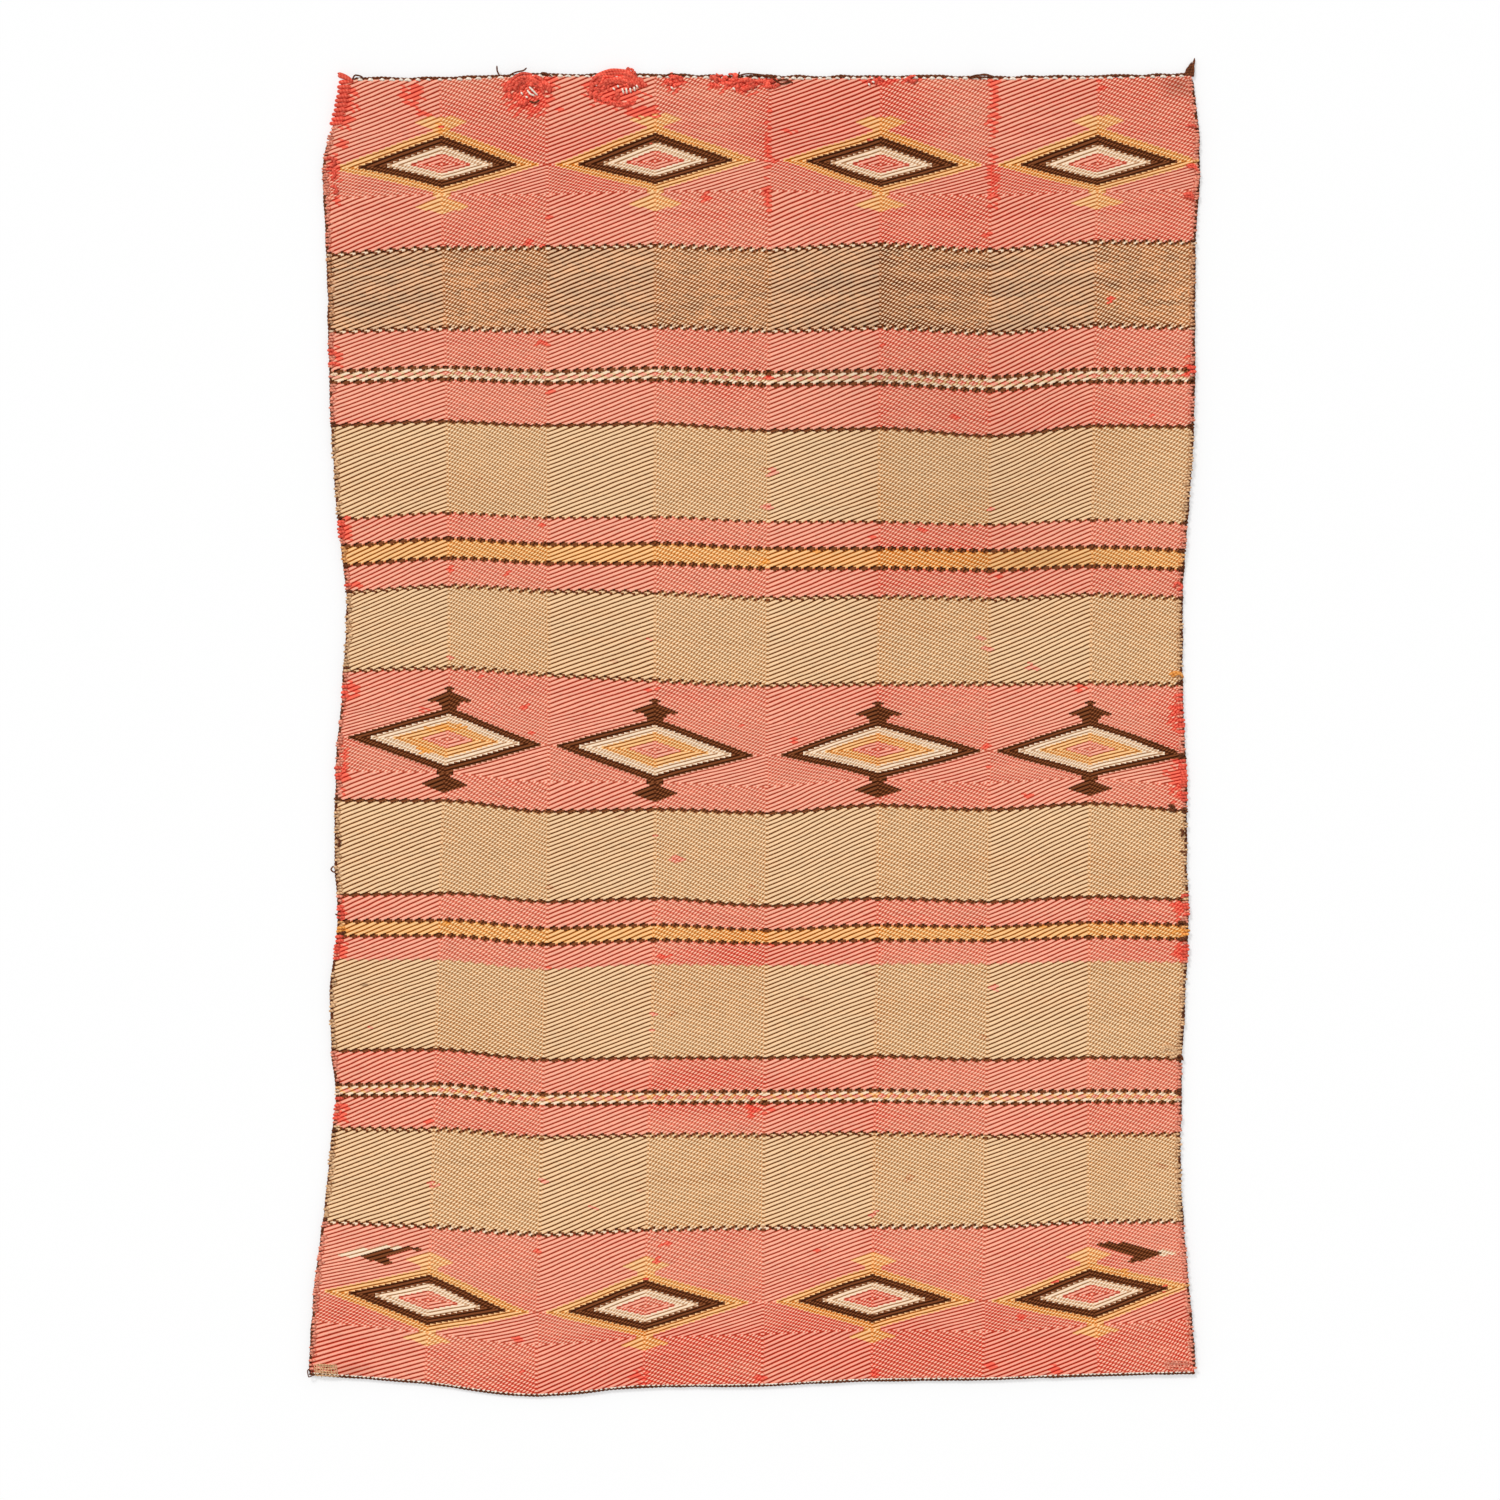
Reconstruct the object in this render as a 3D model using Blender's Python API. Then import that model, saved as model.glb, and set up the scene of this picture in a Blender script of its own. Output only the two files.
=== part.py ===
# A handwoven wool double saddle blanket, spread flat with its top face up.
# +X runs across the warps, +Y along them, +Z up; the origin is under the middle, on the ground.
#
# Every run of weft is a piece of its own. A band or a stripe is a flat sleeve that goes round all
# the warps, from selvedge to selvedge. A diamond is an inlay, with a skin on both faces, a web
# between two warps that joins them, and a groove where each of its nested colours meets the next.
# The warp is one long yarn that turns at both ends. Cords bind the four edges.
import math

import bmesh
import bpy
from mathutils import Vector
from mathutils.geometry import delaunay_2d_cdt

MM = 0.001

# Cloth: a skin of packed weft on each face, with the warps between the two
SEAM = 0.3 * MM
MERGE_DISTANCE = 0.001 * MM
FACE_SKIN = 1.7 * MM
WARP_DIAMETER = 1.0 * MM
CLOTH_THICKNESS = 2 * FACE_SKIN + WARP_DIAMETER + 2 * SEAM
SELVEDGE_WALL = 2.5 * MM
BLANKET_WIDTH = 840.0 * MM

# Warps lie in pairs, because each float of the twill spans two of them
WARP_PITCH = 2.78 * MM
WARPS_IN_PAIR = 2
WEB_WIDTH = 2.0 * MM
WEB_HEIGHT = 2.4 * MM

# Edge cords, and the tassel that is left at one corner
SIDE_CORD = 4.0 * MM
END_CORD = 4.0 * MM
CORD_RESOLUTION = 1
KNOT_LENGTH = 5.0 * MM
KNOT_WIDTH = 5.0 * MM
TASSEL_WIDTH = 8.0 * MM
TASSEL_LENGTH = 14.0 * MM
TASSEL_SIDES = 8
TASSEL_LEAN_SHARES = (-0.1, 1.0)
# Rings of the knot and of its brush: place along it, half width, height
KNOT_RING_SHARES = ((-0.5, 0.17, 0.33), (-0.25, 0.5, 1.0), (0.25, 0.5, 1.0))
BRUSH_RING_SHARES = ((0.0, 0.16, 0.5), (0.33, 0.5, 1.0), (1.0, 0.17, 0.33))

# Heights of the dark stripes
PLIED_STRIPE = 4.9 * MM
DOTTED_STRIPE = 4.4 * MM
FINE_STRIPE = 3.2 * MM

# Heights of the bands, from the top edge to the bottom edge
TOP_CORAL = 160.0 * MM
HEATHER_BROWN = 75.0 * MM
UPPER_CORAL_A = 35.5 * MM
UPPER_CREAM = 7.5 * MM
UPPER_CORAL_B = 38.5 * MM
UPPER_TAN = 86.5 * MM
GOLD_FRAME_A = 22.0 * MM
UPPER_GOLD = 14.5 * MM
GOLD_FRAME_B = 24.0 * MM
MIDDLE_TAN_A = 79.0 * MM
CENTRE_CORAL = 119.5 * MM
MIDDLE_TAN_B = 84.5 * MM
GOLD_FRAME_C = 20.5 * MM
LOWER_GOLD = 10.0 * MM
GOLD_FRAME_D = 21.0 * MM
LOWER_TAN = 88.5 * MM
LOWER_CORAL_A = 28.0 * MM
LOWER_CREAM = 6.5 * MM
LOWER_CORAL_B = 27.0 * MM
BOTTOM_TAN = 85.5 * MM
BOTTOM_CORAL = 144.5 * MM

# Each band with its yarn and height, and the stripe under it: its kind, yarn and height
BANDS = (
    ("band_01_top_coral", "coral", TOP_CORAL, "plied", PLIED_STRIPE),
    ("band_02_heather_brown", "brown", HEATHER_BROWN, "plied", PLIED_STRIPE),
    ("band_03_coral", "coral", UPPER_CORAL_A, "dotted", DOTTED_STRIPE),
    ("band_04_narrow_cream", "cream", UPPER_CREAM, "dotted", DOTTED_STRIPE),
    ("band_05_coral", "coral", UPPER_CORAL_B, "plied", PLIED_STRIPE),
    ("band_06_tan", "tan", UPPER_TAN, "fine", FINE_STRIPE),
    ("band_07_coral", "coral", GOLD_FRAME_A, "dotted", DOTTED_STRIPE),
    ("band_08_gold", "gold", UPPER_GOLD, "dotted", DOTTED_STRIPE),
    ("band_09_coral", "coral", GOLD_FRAME_B, "fine", FINE_STRIPE),
    ("band_10_tan", "tan", MIDDLE_TAN_A, "plied", PLIED_STRIPE),
    ("band_11_centre_coral", "coral", CENTRE_CORAL, "plied", PLIED_STRIPE),
    ("band_12_tan", "tan", MIDDLE_TAN_B, "plied", PLIED_STRIPE),
    ("band_13_coral", "coral", GOLD_FRAME_C, "dotted", DOTTED_STRIPE),
    ("band_14_gold", "gold", LOWER_GOLD, "dotted", DOTTED_STRIPE),
    ("band_15_coral", "coral", GOLD_FRAME_D, None, 0),
    ("band_16_tan", "tan", LOWER_TAN, "plied", PLIED_STRIPE),
    ("band_17_coral", "coral", LOWER_CORAL_A, "dotted", DOTTED_STRIPE),
    ("band_18_narrow_cream", "cream", LOWER_CREAM, "dotted", DOTTED_STRIPE),
    ("band_19_coral", "coral", LOWER_CORAL_B, "plied", PLIED_STRIPE),
    ("band_20_tan", "tan", BOTTOM_TAN, "plied", PLIED_STRIPE),
    ("band_21_bottom_coral", "coral", BOTTOM_CORAL, None, 0),
)

# Where the twill turns: the middles of the seven turns at three heights of the blanket
COLUMN_LEVEL_SHARES = (0.0, 0.51, 1.0)
COLUMN_TURN_SHARES = (
    (-0.362, -0.238, -0.1125, 0.021, 0.150, 0.276, 0.402),
    (-0.358, -0.236, -0.1125, 0.0175, 0.1465, 0.275, 0.392),
    (-0.379, -0.2505, -0.1255, 0.0115, 0.139, 0.268, 0.397),
)
TURNS = len(COLUMN_TURN_SHARES[0])
STATIONS = TURNS + 2

# The side edges wander: share of the length from the top, then share of the width
LEFT_EDGE_SHARES = (
    (0.0, -0.4750), (0.026, -0.484), (0.072, -0.500), (0.133, -0.492), (0.270, -0.485),
    (0.400, -0.471), (0.480, -0.477), (0.525, -0.483), (0.620, -0.486), (0.785, -0.484),
    (0.880, -0.499), (0.940, -0.5095), (1.0, -0.515),
)
RIGHT_EDGE_SHARES = (
    (0.0, 0.513), (0.068, 0.521), (0.133, 0.515), (0.270, 0.513), (0.355, 0.504),
    (0.400, 0.500), (0.524, 0.504), (0.640, 0.508), (0.693, 0.504), (0.755, 0.499),
    (0.845, 0.498), (0.890, 0.5026), (0.940, 0.5095), (1.0, 0.5165),
)

# The weft rises and falls between the turns, as the beating left it. Each row is the seam under
# that band, at the left edge, the seven turns and the right edge, as shares of BEAT_WAVE
BEAT_WAVE = 10.0 * MM
WAVE_SHARES = {
    0: (0.15, 0.0, 0.0, 0.0, 0.0, 0.0, -0.1, 0.0, 0.15),
    1: (-0.65, -0.05, -0.05, 0.1, -0.2, 0.25, -0.3, 0.5, 0.4),
    2: (-0.25, 0.1, -0.15, 0.25, -0.15, 0.15, -0.4, 0.3, 0.15),
    5: (0.1, 0.55, 0.15, 0.35, -0.3, -0.15, -0.85, 0.05, 0.05),
    7: (0.05, 0.75, 0.25, 0.25, -0.2, -0.2, -0.45, 0.0, -0.4),
    9: (0.25, 0.8, 0.25, 0.2, -0.4, -0.3, -0.45, -0.05, -0.4),
    10: (0.8, 1.1, 0.45, -0.05, -0.55, -0.4, -0.4, -0.3, -0.6),
    11: (0.6, 0.65, -0.4, -0.25, -0.55, 0.2, -0.3, 0.35, -0.3),
    12: (0.4, 0.6, -0.25, 0.05, -0.7, 0.05, -0.3, 0.2, -0.1),
    15: (0.35, 0.35, -0.6, -0.15, -0.2, -0.1, 0.0, 0.25, 0.0),
    16: (0.55, 0.65, -0.35, -0.1, -0.1, 0.0, -0.35, -0.1, -0.25),
    19: (0.45, 0.45, -0.35, -0.2, -0.1, 0.0, -0.2, -0.05, -0.05),
    20: (0.4, 0.0, -0.75, -0.3, -0.2, -0.1, 0.0, 0.4, 0.55),
    21: (0.75, -0.35, -1.4, -0.55, -0.45, 0.15, 0.45, 0.65, 0.75),
}

# The warps keep to straight lines inside the wandering selvedges: shares of the width
WARP_FIELD_LEFT_SHARES = (-0.4515, -0.4785)
WARP_FIELD_RIGHT_SHARES = (0.494, 0.487)

# The diamonds. Their points lie on the first, third, fifth and seventh turns. The side points
# stop a gap short of the middle between two diamonds. Each ring of colour has a width along the
# weft and a height along the warp, and the core fills what is left
OUTER_GAP = 9.1 * MM
OUTER_HALF_HEIGHT = 30.0 * MM
OUTER_GOLD_RING = (18.5 * MM, 5.0 * MM)
OUTER_DARK_RING = (24.5 * MM, 6.0 * MM)
OUTER_CREAM_RING = (27.0 * MM, 8.0 * MM)
CENTRE_GAP = 12.6 * MM
CENTRE_HALF_HEIGHT = 31.0 * MM
CENTRE_DARK_RING = (16.5 * MM, 4.5 * MM)
CENTRE_CREAM_RING = (26.0 * MM, 8.5 * MM)
CENTRE_GOLD_RING = (26.5 * MM, 9.5 * MM)

# The small diamond on the upper and lower point of each: half width, half height, and how far
# its middle is past the point that it sits on
OUTER_CAP = (18.5 * MM, 10.0 * MM, 7.0 * MM)
CENTRE_CAP = (19.0 * MM, 12.5 * MM, 7.5 * MM)

DIAMOND_TURNS = (1, 3, 5, 7)
OUTER_DIAMOND = {
    "gap": OUTER_GAP, "half_height": OUTER_HALF_HEIGHT, "cap": OUTER_CAP, "core": "coral",
    "rings": (("gold", OUTER_GOLD_RING), ("dark", OUTER_DARK_RING), ("cream", OUTER_CREAM_RING)),
}
CENTRE_DIAMOND = {
    "gap": CENTRE_GAP, "half_height": CENTRE_HALF_HEIGHT, "cap": CENTRE_CAP, "core": "coral",
    "rings": (
        ("dark", CENTRE_DARK_RING), ("cream", CENTRE_CREAM_RING), ("gold", CENTRE_GOLD_RING),
    ),
}

# Each row of diamonds: its name, the band that it lies in, and how far down that band
TOP_ROW_SHARE = 0.5
CENTRE_ROW_SHARE = 0.54
BOTTOM_ROW_SHARE = 0.466
DIAMOND_ROWS = (
    ("top_diamond", 0, TOP_ROW_SHARE, OUTER_DIAMOND),
    ("centre_diamond", 10, CENTRE_ROW_SHARE, CENTRE_DIAMOND),
    ("bottom_diamond", 20, BOTTOM_ROW_SHARE, OUTER_DIAMOND),
)

# The groove between two colours of a diamond
GROOVE_WIDTH = 0.8 * MM
GROOVE_DEPTH = 0.5 * MM

# Two unfinished points of diamonds above the bottom row, as hooks: the shape of the left one,
# mirrored for the right one, and how far each one's outer corner stays inside its selvedge
HOOK_LENGTH = 60.0 * MM
HOOK_HEIGHT = 17.0 * MM
HOOK_SHARES = (
    (-0.33, 0.38), (0.04, 0.28), (0.52, 0.0), (0.41, 0.33), (1.0, 0.98), (0.5, 0.98), (-0.05, 0.68),
)
HOOK_WEB_SHARES = (0.2, 0.5)
HOOK_DEPTH_SHARE = 0.17
HOOK_BAND = 20
HOOK_CLEARANCE = 1.5 * MM
HOOK_MARGIN_LEFT = 13.5 * MM
HOOK_MARGIN_RIGHT = 6.5 * MM
HOOK_PLACES = (
    ("left", LEFT_EDGE_SHARES, 1, HOOK_MARGIN_LEFT),
    ("right", RIGHT_EDGE_SHARES, -1, HOOK_MARGIN_RIGHT),
)

YARNS = {
    "coral": ((0.790, 0.240, 0.165), 0.93),
    "tan": ((0.680, 0.440, 0.235), 0.94),
    "brown": ((0.440, 0.255, 0.130), 0.94),
    "gold": ((0.800, 0.365, 0.085), 0.93),
    "cream": ((0.880, 0.640, 0.420), 0.94),
    "dark": ((0.045, 0.022, 0.014), 0.90),
    "warp": ((0.780, 0.730, 0.640), 0.94),
}


def clear_scene():
    for old in list(bpy.data.objects):
        bpy.data.objects.remove(old, do_unlink=True)


def yarn_material(yarn):
    colour, roughness = YARNS[yarn]
    material = bpy.data.materials.get(yarn) or bpy.data.materials.new(yarn)
    material.use_nodes = True
    shader = material.node_tree.nodes["Principled BSDF"]
    shader.inputs["Base Color"].default_value = (*colour, 1.0)
    shader.inputs["Roughness"].default_value = roughness
    shader.inputs["Metallic"].default_value = 0.0
    return material


# Heights: a depth is measured down the blanket from the outside of the top end cord
def stack():
    # The seams' depths, and each piece as name, yarn, top seam and bottom seam
    depth = END_CORD + SEAM / 2
    seams = {0: depth}
    pieces = []
    stripe_number = 0
    for number, (name, yarn, height, kind, stripe) in enumerate(BANDS, 1):
        pieces.append((name, yarn, depth, depth + height))
        depth += height
        seams[number] = depth + stripe / 2
        if kind:
            stripe_number += 1
            stripe_name = f"stripe_{stripe_number:02d}_{kind}_dark"
            pieces.append((stripe_name, "dark", depth, depth + stripe))
            depth += stripe
    return seams, pieces, depth + SEAM / 2 + END_CORD


SEAMS, PIECES, BLANKET_LENGTH = stack()


def between(places, values, place):
    # The value at a place, on straight runs between the given places
    if place <= places[0]:
        return values[0]
    for low, high, first, last in zip(places, places[1:], values, values[1:]):
        if place <= high:
            return first + (last - first) * (place - low) / (high - low)
    return values[-1]


def wave(depth, station):
    rows = sorted(WAVE_SHARES)
    depths = [SEAMS[row] for row in rows]
    heights = [WAVE_SHARES[row][station] * BEAT_WAVE for row in rows]
    return between(depths, heights, depth)


def depth_share(y):
    return (BLANKET_LENGTH / 2 - y) / BLANKET_LENGTH


def edge_x(shares, y):
    places, values = zip(*shares)
    return between(places, values, depth_share(y)) * BLANKET_WIDTH


def turn_x(turn, y):
    values = [row[turn - 1] for row in COLUMN_TURN_SHARES]
    return between(COLUMN_LEVEL_SHARES, values, depth_share(y)) * BLANKET_WIDTH


def weft_y(depth, station):
    return BLANKET_LENGTH / 2 - depth + wave(depth, station)


def weft_line(depth, inset):
    # The points of one weft at a depth: left edge, the seven turns, right edge
    left_y = weft_y(depth, 0)
    right_y = weft_y(depth, STATIONS - 1)
    points = [(edge_x(LEFT_EDGE_SHARES, left_y) + inset, left_y)]
    for turn in range(1, TURNS + 1):
        y = weft_y(depth, turn)
        points.append((turn_x(turn, y), y))
    points.append((edge_x(RIGHT_EDGE_SHARES, right_y) - inset, right_y))
    return points


def trimmed(line, inset):
    # The same weft with both ends drawn in along it, for the slot inside the selvedges
    line = list(line)
    for end, beside, sign in ((0, 1, 1), (-1, -2, -1)):
        (x, y), (beside_x, beside_y) = line[end], line[beside]
        new_x = x + sign * inset
        new_y = y + (beside_y - y) * (new_x - x) / (beside_x - x)
        line[end] = (new_x, new_y)
    return line


def edge_points(shares, top_y, bottom_y, inset):
    # Corners of a side edge that lie between two heights, from the top down
    margin = SELVEDGE_WALL
    points = []
    for place, width_share in shares:
        y = BLANKET_LENGTH / 2 - place * BLANKET_LENGTH
        if bottom_y + margin < y < top_y - margin:
            points.append((width_share * BLANKET_WIDTH + inset, y))
    return points


# Outlines in the plane of the cloth
def band_outline(top, bottom, inset):
    right = edge_points(RIGHT_EDGE_SHARES, top[-1][1], bottom[-1][1], -inset)
    left = edge_points(LEFT_EDGE_SHARES, top[0][1], bottom[0][1], inset)
    return top + right + bottom[::-1] + left[::-1]


def signed_area(loop):
    pairs = zip(loop, loop[1:] + loop[:1])
    return sum(a[0] * b[1] - b[0] * a[1] for a, b in pairs) / 2


def grown(loop, distance):
    # The loop with every side moved out by a distance, and the corners mitred
    points = [Vector(point) for point in loop]
    if signed_area(loop) < 0:
        points.reverse()
    grown_points = []
    for index, point in enumerate(points):
        before = (point - points[index - 1]).normalized()
        after = (points[(index + 1) % len(points)] - point).normalized()
        normal_before = Vector((before.y, -before.x))
        normal_after = Vector((after.y, -after.x))
        mitre = normal_before + normal_after
        mitre *= distance / (1 + normal_before.dot(normal_after))
        grown_points.append(tuple(point + mitre))
    return grown_points


def diamond(centre, half_width, half_height, cap=None):
    # A lozenge, with the small cap diamond on its upper and lower points where it has one
    x, y = centre
    side = [(half_width, 0.0)]
    upper = [(0.0, half_height)]
    if cap:
        cap_width, cap_height, cap_rise = cap
        middle = half_height + cap_rise
        slopes = half_height / half_width + cap_height / cap_width
        neck = (cap_height - cap_rise) / slopes
        neck_y = half_height * (1 - neck / half_width)
        upper = [(neck, neck_y), (cap_width, middle), (0.0, middle + cap_height),
                 (-cap_width, middle), (-neck, neck_y)]
    quarter = side + upper
    points = quarter + [(-px, -py) for px, py in quarter]
    return [(x + px, y + py) for px, py in points]


def clipped(loop, limit):
    # The loop without what lies to the right of a limit
    kept = []
    for here, after in zip(loop, loop[1:] + loop[:1]):
        if here[0] <= limit:
            kept.append(here)
        if (here[0] - limit) * (after[0] - limit) < 0:
            share = (limit - here[0]) / (after[0] - here[0])
            kept.append((limit, here[1] + share * (after[1] - here[1])))
    return kept


# Solids: a solid is gathered as faces, each a list of points, and then made into one object
def inside(point, loop):
    x, y = point
    crossed = False
    for (ax, ay), (bx, by) in zip(loop, loop[1:] + loop[:1]):
        if (ay > y) != (by > y) and x < ax + (bx - ax) * (y - ay) / (by - ay):
            crossed = not crossed
    return crossed


def region(loops, height):
    # The flat faces between an outer loop and the holes in it, at one height
    points = [point for loop in loops for point in loop]
    edges = []
    start = 0
    for loop in loops:
        count = len(loop)
        edges += [(start + i, start + (i + 1) % count) for i in range(count)]
        start += count
    vectors = [Vector(point) for point in points]
    found = delaunay_2d_cdt(vectors, edges, [], 0, MERGE_DISTANCE)
    faces = []
    for face in found[2]:
        corners = [points[found[3][vertex][0]] for vertex in face]
        middle = tuple(sum(values) / len(corners) for values in zip(*corners))
        if sum(inside(middle, loop) for loop in loops) % 2:
            faces.append([(x, y, height) for x, y in corners])
    return faces


def wall(points, low, high, closed=True):
    ends = points[1:] + points[:1] if closed else points[1:]
    return [
        [(*a, low), (*b, low), (*b, high), (*a, high)]
        for a, b in zip(points, ends)
    ]


def make_object(name, coloured):
    # One object from its faces, each group of them in the yarn that shows there
    mesh = bpy.data.meshes.new(name)
    body = bmesh.new()
    corners = {}
    yarns = sorted({yarn for yarn, _ in coloured})
    for yarn, faces in coloured:
        for face in faces:
            ring = []
            for point in face:
                key = tuple(round(value / MERGE_DISTANCE) for value in point)
                if key not in corners:
                    corners[key] = body.verts.new(point)
                ring.append(corners[key])
            body.faces.new(ring).material_index = yarns.index(yarn)
    bmesh.ops.recalc_face_normals(body, faces=body.faces)
    body.to_mesh(mesh)
    body.free()
    for yarn in yarns:
        mesh.materials.append(yarn_material(yarn))
    made = bpy.data.objects.new(name, mesh)
    bpy.context.collection.objects.link(made)
    return made


def sleeve(name, yarn, top_depth, bottom_depth, pockets):
    # Weft round all the warps: closed at the selvedges, open where the warps come out
    inset = SIDE_CORD + SEAM
    top = weft_line(top_depth + SEAM / 2, inset)
    bottom = weft_line(bottom_depth - SEAM / 2, inset)
    slot_top = trimmed(top, SELVEDGE_WALL)
    slot_bottom = trimmed(bottom, SELVEDGE_WALL)
    outline = band_outline(top, bottom, inset)
    slot = band_outline(slot_top, slot_bottom, inset + SELVEDGE_WALL)
    under, over = FACE_SKIN, CLOTH_THICKNESS - FACE_SKIN

    faces = region([outline, *pockets], 0.0) + region([outline, *pockets], CLOTH_THICKNESS)
    faces += region([slot, *pockets], under) + region([slot, *pockets], over)
    for pocket in pockets:
        faces += wall(pocket, 0.0, under) + wall(pocket, over, CLOTH_THICKNESS)
    for edge_inset, low, high, upper, lower in (
        (inset, 0.0, CLOTH_THICKNESS, top, bottom),
        (inset + SELVEDGE_WALL, under, over, slot_top, slot_bottom),
    ):
        for shares, end, sign in ((LEFT_EDGE_SHARES, 0, 1), (RIGHT_EDGE_SHARES, -1, -1)):
            inner = edge_points(shares, upper[end][1], lower[end][1], sign * edge_inset)
            run = [upper[end], *inner, lower[end]]
            faces += wall(run, low, high, closed=False)
    for line, slot_line in ((top, slot_top), (bottom, slot_bottom)):
        faces += rim(line, slot_line, 0.0, under) + rim(line, slot_line, CLOTH_THICKNESS, over)
        for end in (0, -1):
            out, into = line[end], slot_line[end]
            faces.append([(*out, 0.0), (*into, under), (*into, over), (*out, CLOTH_THICKNESS)])
    return make_object(name, [(yarn, faces)])


def rim(line, slot_line, outer_height, slot_height):
    # The lip of one skin at the open end of a sleeve
    runs = zip(line, line[1:], slot_line, slot_line[1:])
    return [
        [(*a, outer_height), (*b, outer_height), (*d, slot_height), (*c, slot_height)]
        for a, b, c, d in runs
    ]


def inlay_faces(rings, web):
    # A skin on each face of the cloth, grooved between its nested colours, and the web between
    # two warps that joins the skins. The first ring is the outline
    under, over = FACE_SKIN, CLOTH_THICKNESS - FACE_SKIN
    outline = rings[0][1]
    coloured = []
    for face, into in ((0.0, GROOVE_DEPTH), (CLOTH_THICKNESS, -GROOVE_DEPTH)):
        for index, (yarn, loop) in enumerate(rings):
            outer = grown(loop, -GROOVE_WIDTH / 2) if index else loop
            loops = [outer]
            if index:
                coloured.append((yarn, slope(loop, outer, face + into, face)))
            if index + 1 < len(rings):
                inner_loop = rings[index + 1][1]
                lip = grown(inner_loop, GROOVE_WIDTH / 2)
                loops.append(lip)
                coloured.append((yarn, slope(lip, inner_loop, face, face + into)))
            coloured.append((yarn, region(loops, face)))
    hidden = region([outline, web], under) + region([outline, web], over)
    hidden += wall(outline, 0.0, under) + wall(outline, over, CLOTH_THICKNESS)
    hidden += wall(web, under, over)
    return [*coloured, (rings[0][0], hidden)]


def slope(loop, other, height, other_height):
    # The faces between two loops of as many points, at two heights
    sides = zip(loop, loop[1:] + loop[:1], other, other[1:] + other[:1])
    return [
        [(*a, height), (*b, height), (*d, other_height), (*c, other_height)]
        for a, b, c, d in sides
    ]


# Warps
def warp_field(y):
    place = depth_share(y)
    left = between((0.0, 1.0), WARP_FIELD_LEFT_SHARES, place) * BLANKET_WIDTH
    right = between((0.0, 1.0), WARP_FIELD_RIGHT_SHARES, place) * BLANKET_WIDTH
    return left, right


def pair_count():
    left, right = warp_field(BLANKET_LENGTH / 2)
    return int((right - left) / (WARP_PITCH * WARPS_IN_PAIR))


def pair_edge_x(index, y):
    # The place between two pairs: before pair 0 for index 0, after it for index 1
    left, right = warp_field(y)
    return left + (right - left) * index / pair_count()


def web_between_warps(centre):
    x, y = centre
    left, right = warp_field(y)
    nearest = round((x - left) / (right - left) * pair_count())
    if 0 <= nearest <= pair_count():
        x = pair_edge_x(nearest, y)
    half_width, half_height = WEB_WIDTH / 2, WEB_HEIGHT / 2
    return [(x - half_width, y - half_height), (x + half_width, y - half_height),
            (x + half_width, y + half_height), (x - half_width, y + half_height)]


def end_line_y(line, x):
    xs, ys = zip(*line)
    return between(xs, ys, x)


def warp_yarn():
    # One yarn, two strands wide, that runs from end to end and turns beside each end cord
    width = WARP_DIAMETER * WARPS_IN_PAIR
    low = (CLOTH_THICKNESS - WARP_DIAMETER) / 2
    ends = (
        (weft_line(0.0, 0.0), BLANKET_LENGTH / 2, -1),
        (weft_line(BLANKET_LENGTH, 0.0), -BLANKET_LENGTH / 2, 1),
    )
    inset = END_CORD + 2 * SEAM + width / 2
    route = []
    for pair in range(pair_count()):
        order = ends if pair % 2 else ends[::-1]
        for line, end_y, sign in order:
            x = pair_edge_x(pair + 1 / 2, end_y)
            route.append((x, end_line_y(line, x) + sign * inset))
    left, right = offset_sides(route, width / 2)
    faces = []
    for side in (left, right):
        faces += wall(side, low, low + WARP_DIAMETER, closed=False)
    for height in (low, low + WARP_DIAMETER):
        quads = zip(left, left[1:], right[1:], right)
        faces += [[(*point, height) for point in quad] for quad in quads]
    for index in (0, -1):
        faces += wall([left[index], right[index]], low, low + WARP_DIAMETER, closed=False)
    return make_object("warp_yarn", [("warp", faces)])


def offset_sides(route, distance):
    # The mitred left and right sides of a strip along a route
    points = [Vector(point) for point in route]
    left, right = [], []
    for index, point in enumerate(points):
        before = point - points[index - 1] if index else points[1] - points[0]
        after = points[index + 1] - point if index + 1 < len(points) else before
        normals = [Vector((-run.y, run.x)).normalized() for run in (before, after)]
        mitre = (normals[0] + normals[1]) * distance / (1 + normals[0].dot(normals[1]))
        left.append(tuple(point + mitre))
        right.append(tuple(point - mitre))
    return left, right


# Diamonds
def piece_depths(number):
    return next(piece[2:] for piece in PIECES if piece[0] == BANDS[number][0])


def nested(design, centre, half_width, limit):
    # The loops of one diamond from the outside in, each with the yarn inside it
    half_height = design["half_height"]
    outline = diamond(centre, half_width, half_height, design["cap"])
    yarns = [yarn for yarn, _ in design["rings"]] + [design["core"]]
    loops = [(yarns[0], clipped(outline, limit))]
    for yarn, (_, (ring_width, ring_height)) in zip(yarns[1:], design["rings"]):
        half_width -= ring_width
        half_height -= ring_height
        loops.append((yarn, clipped(diamond(centre, half_width, half_height), limit)))
    return loops


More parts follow.
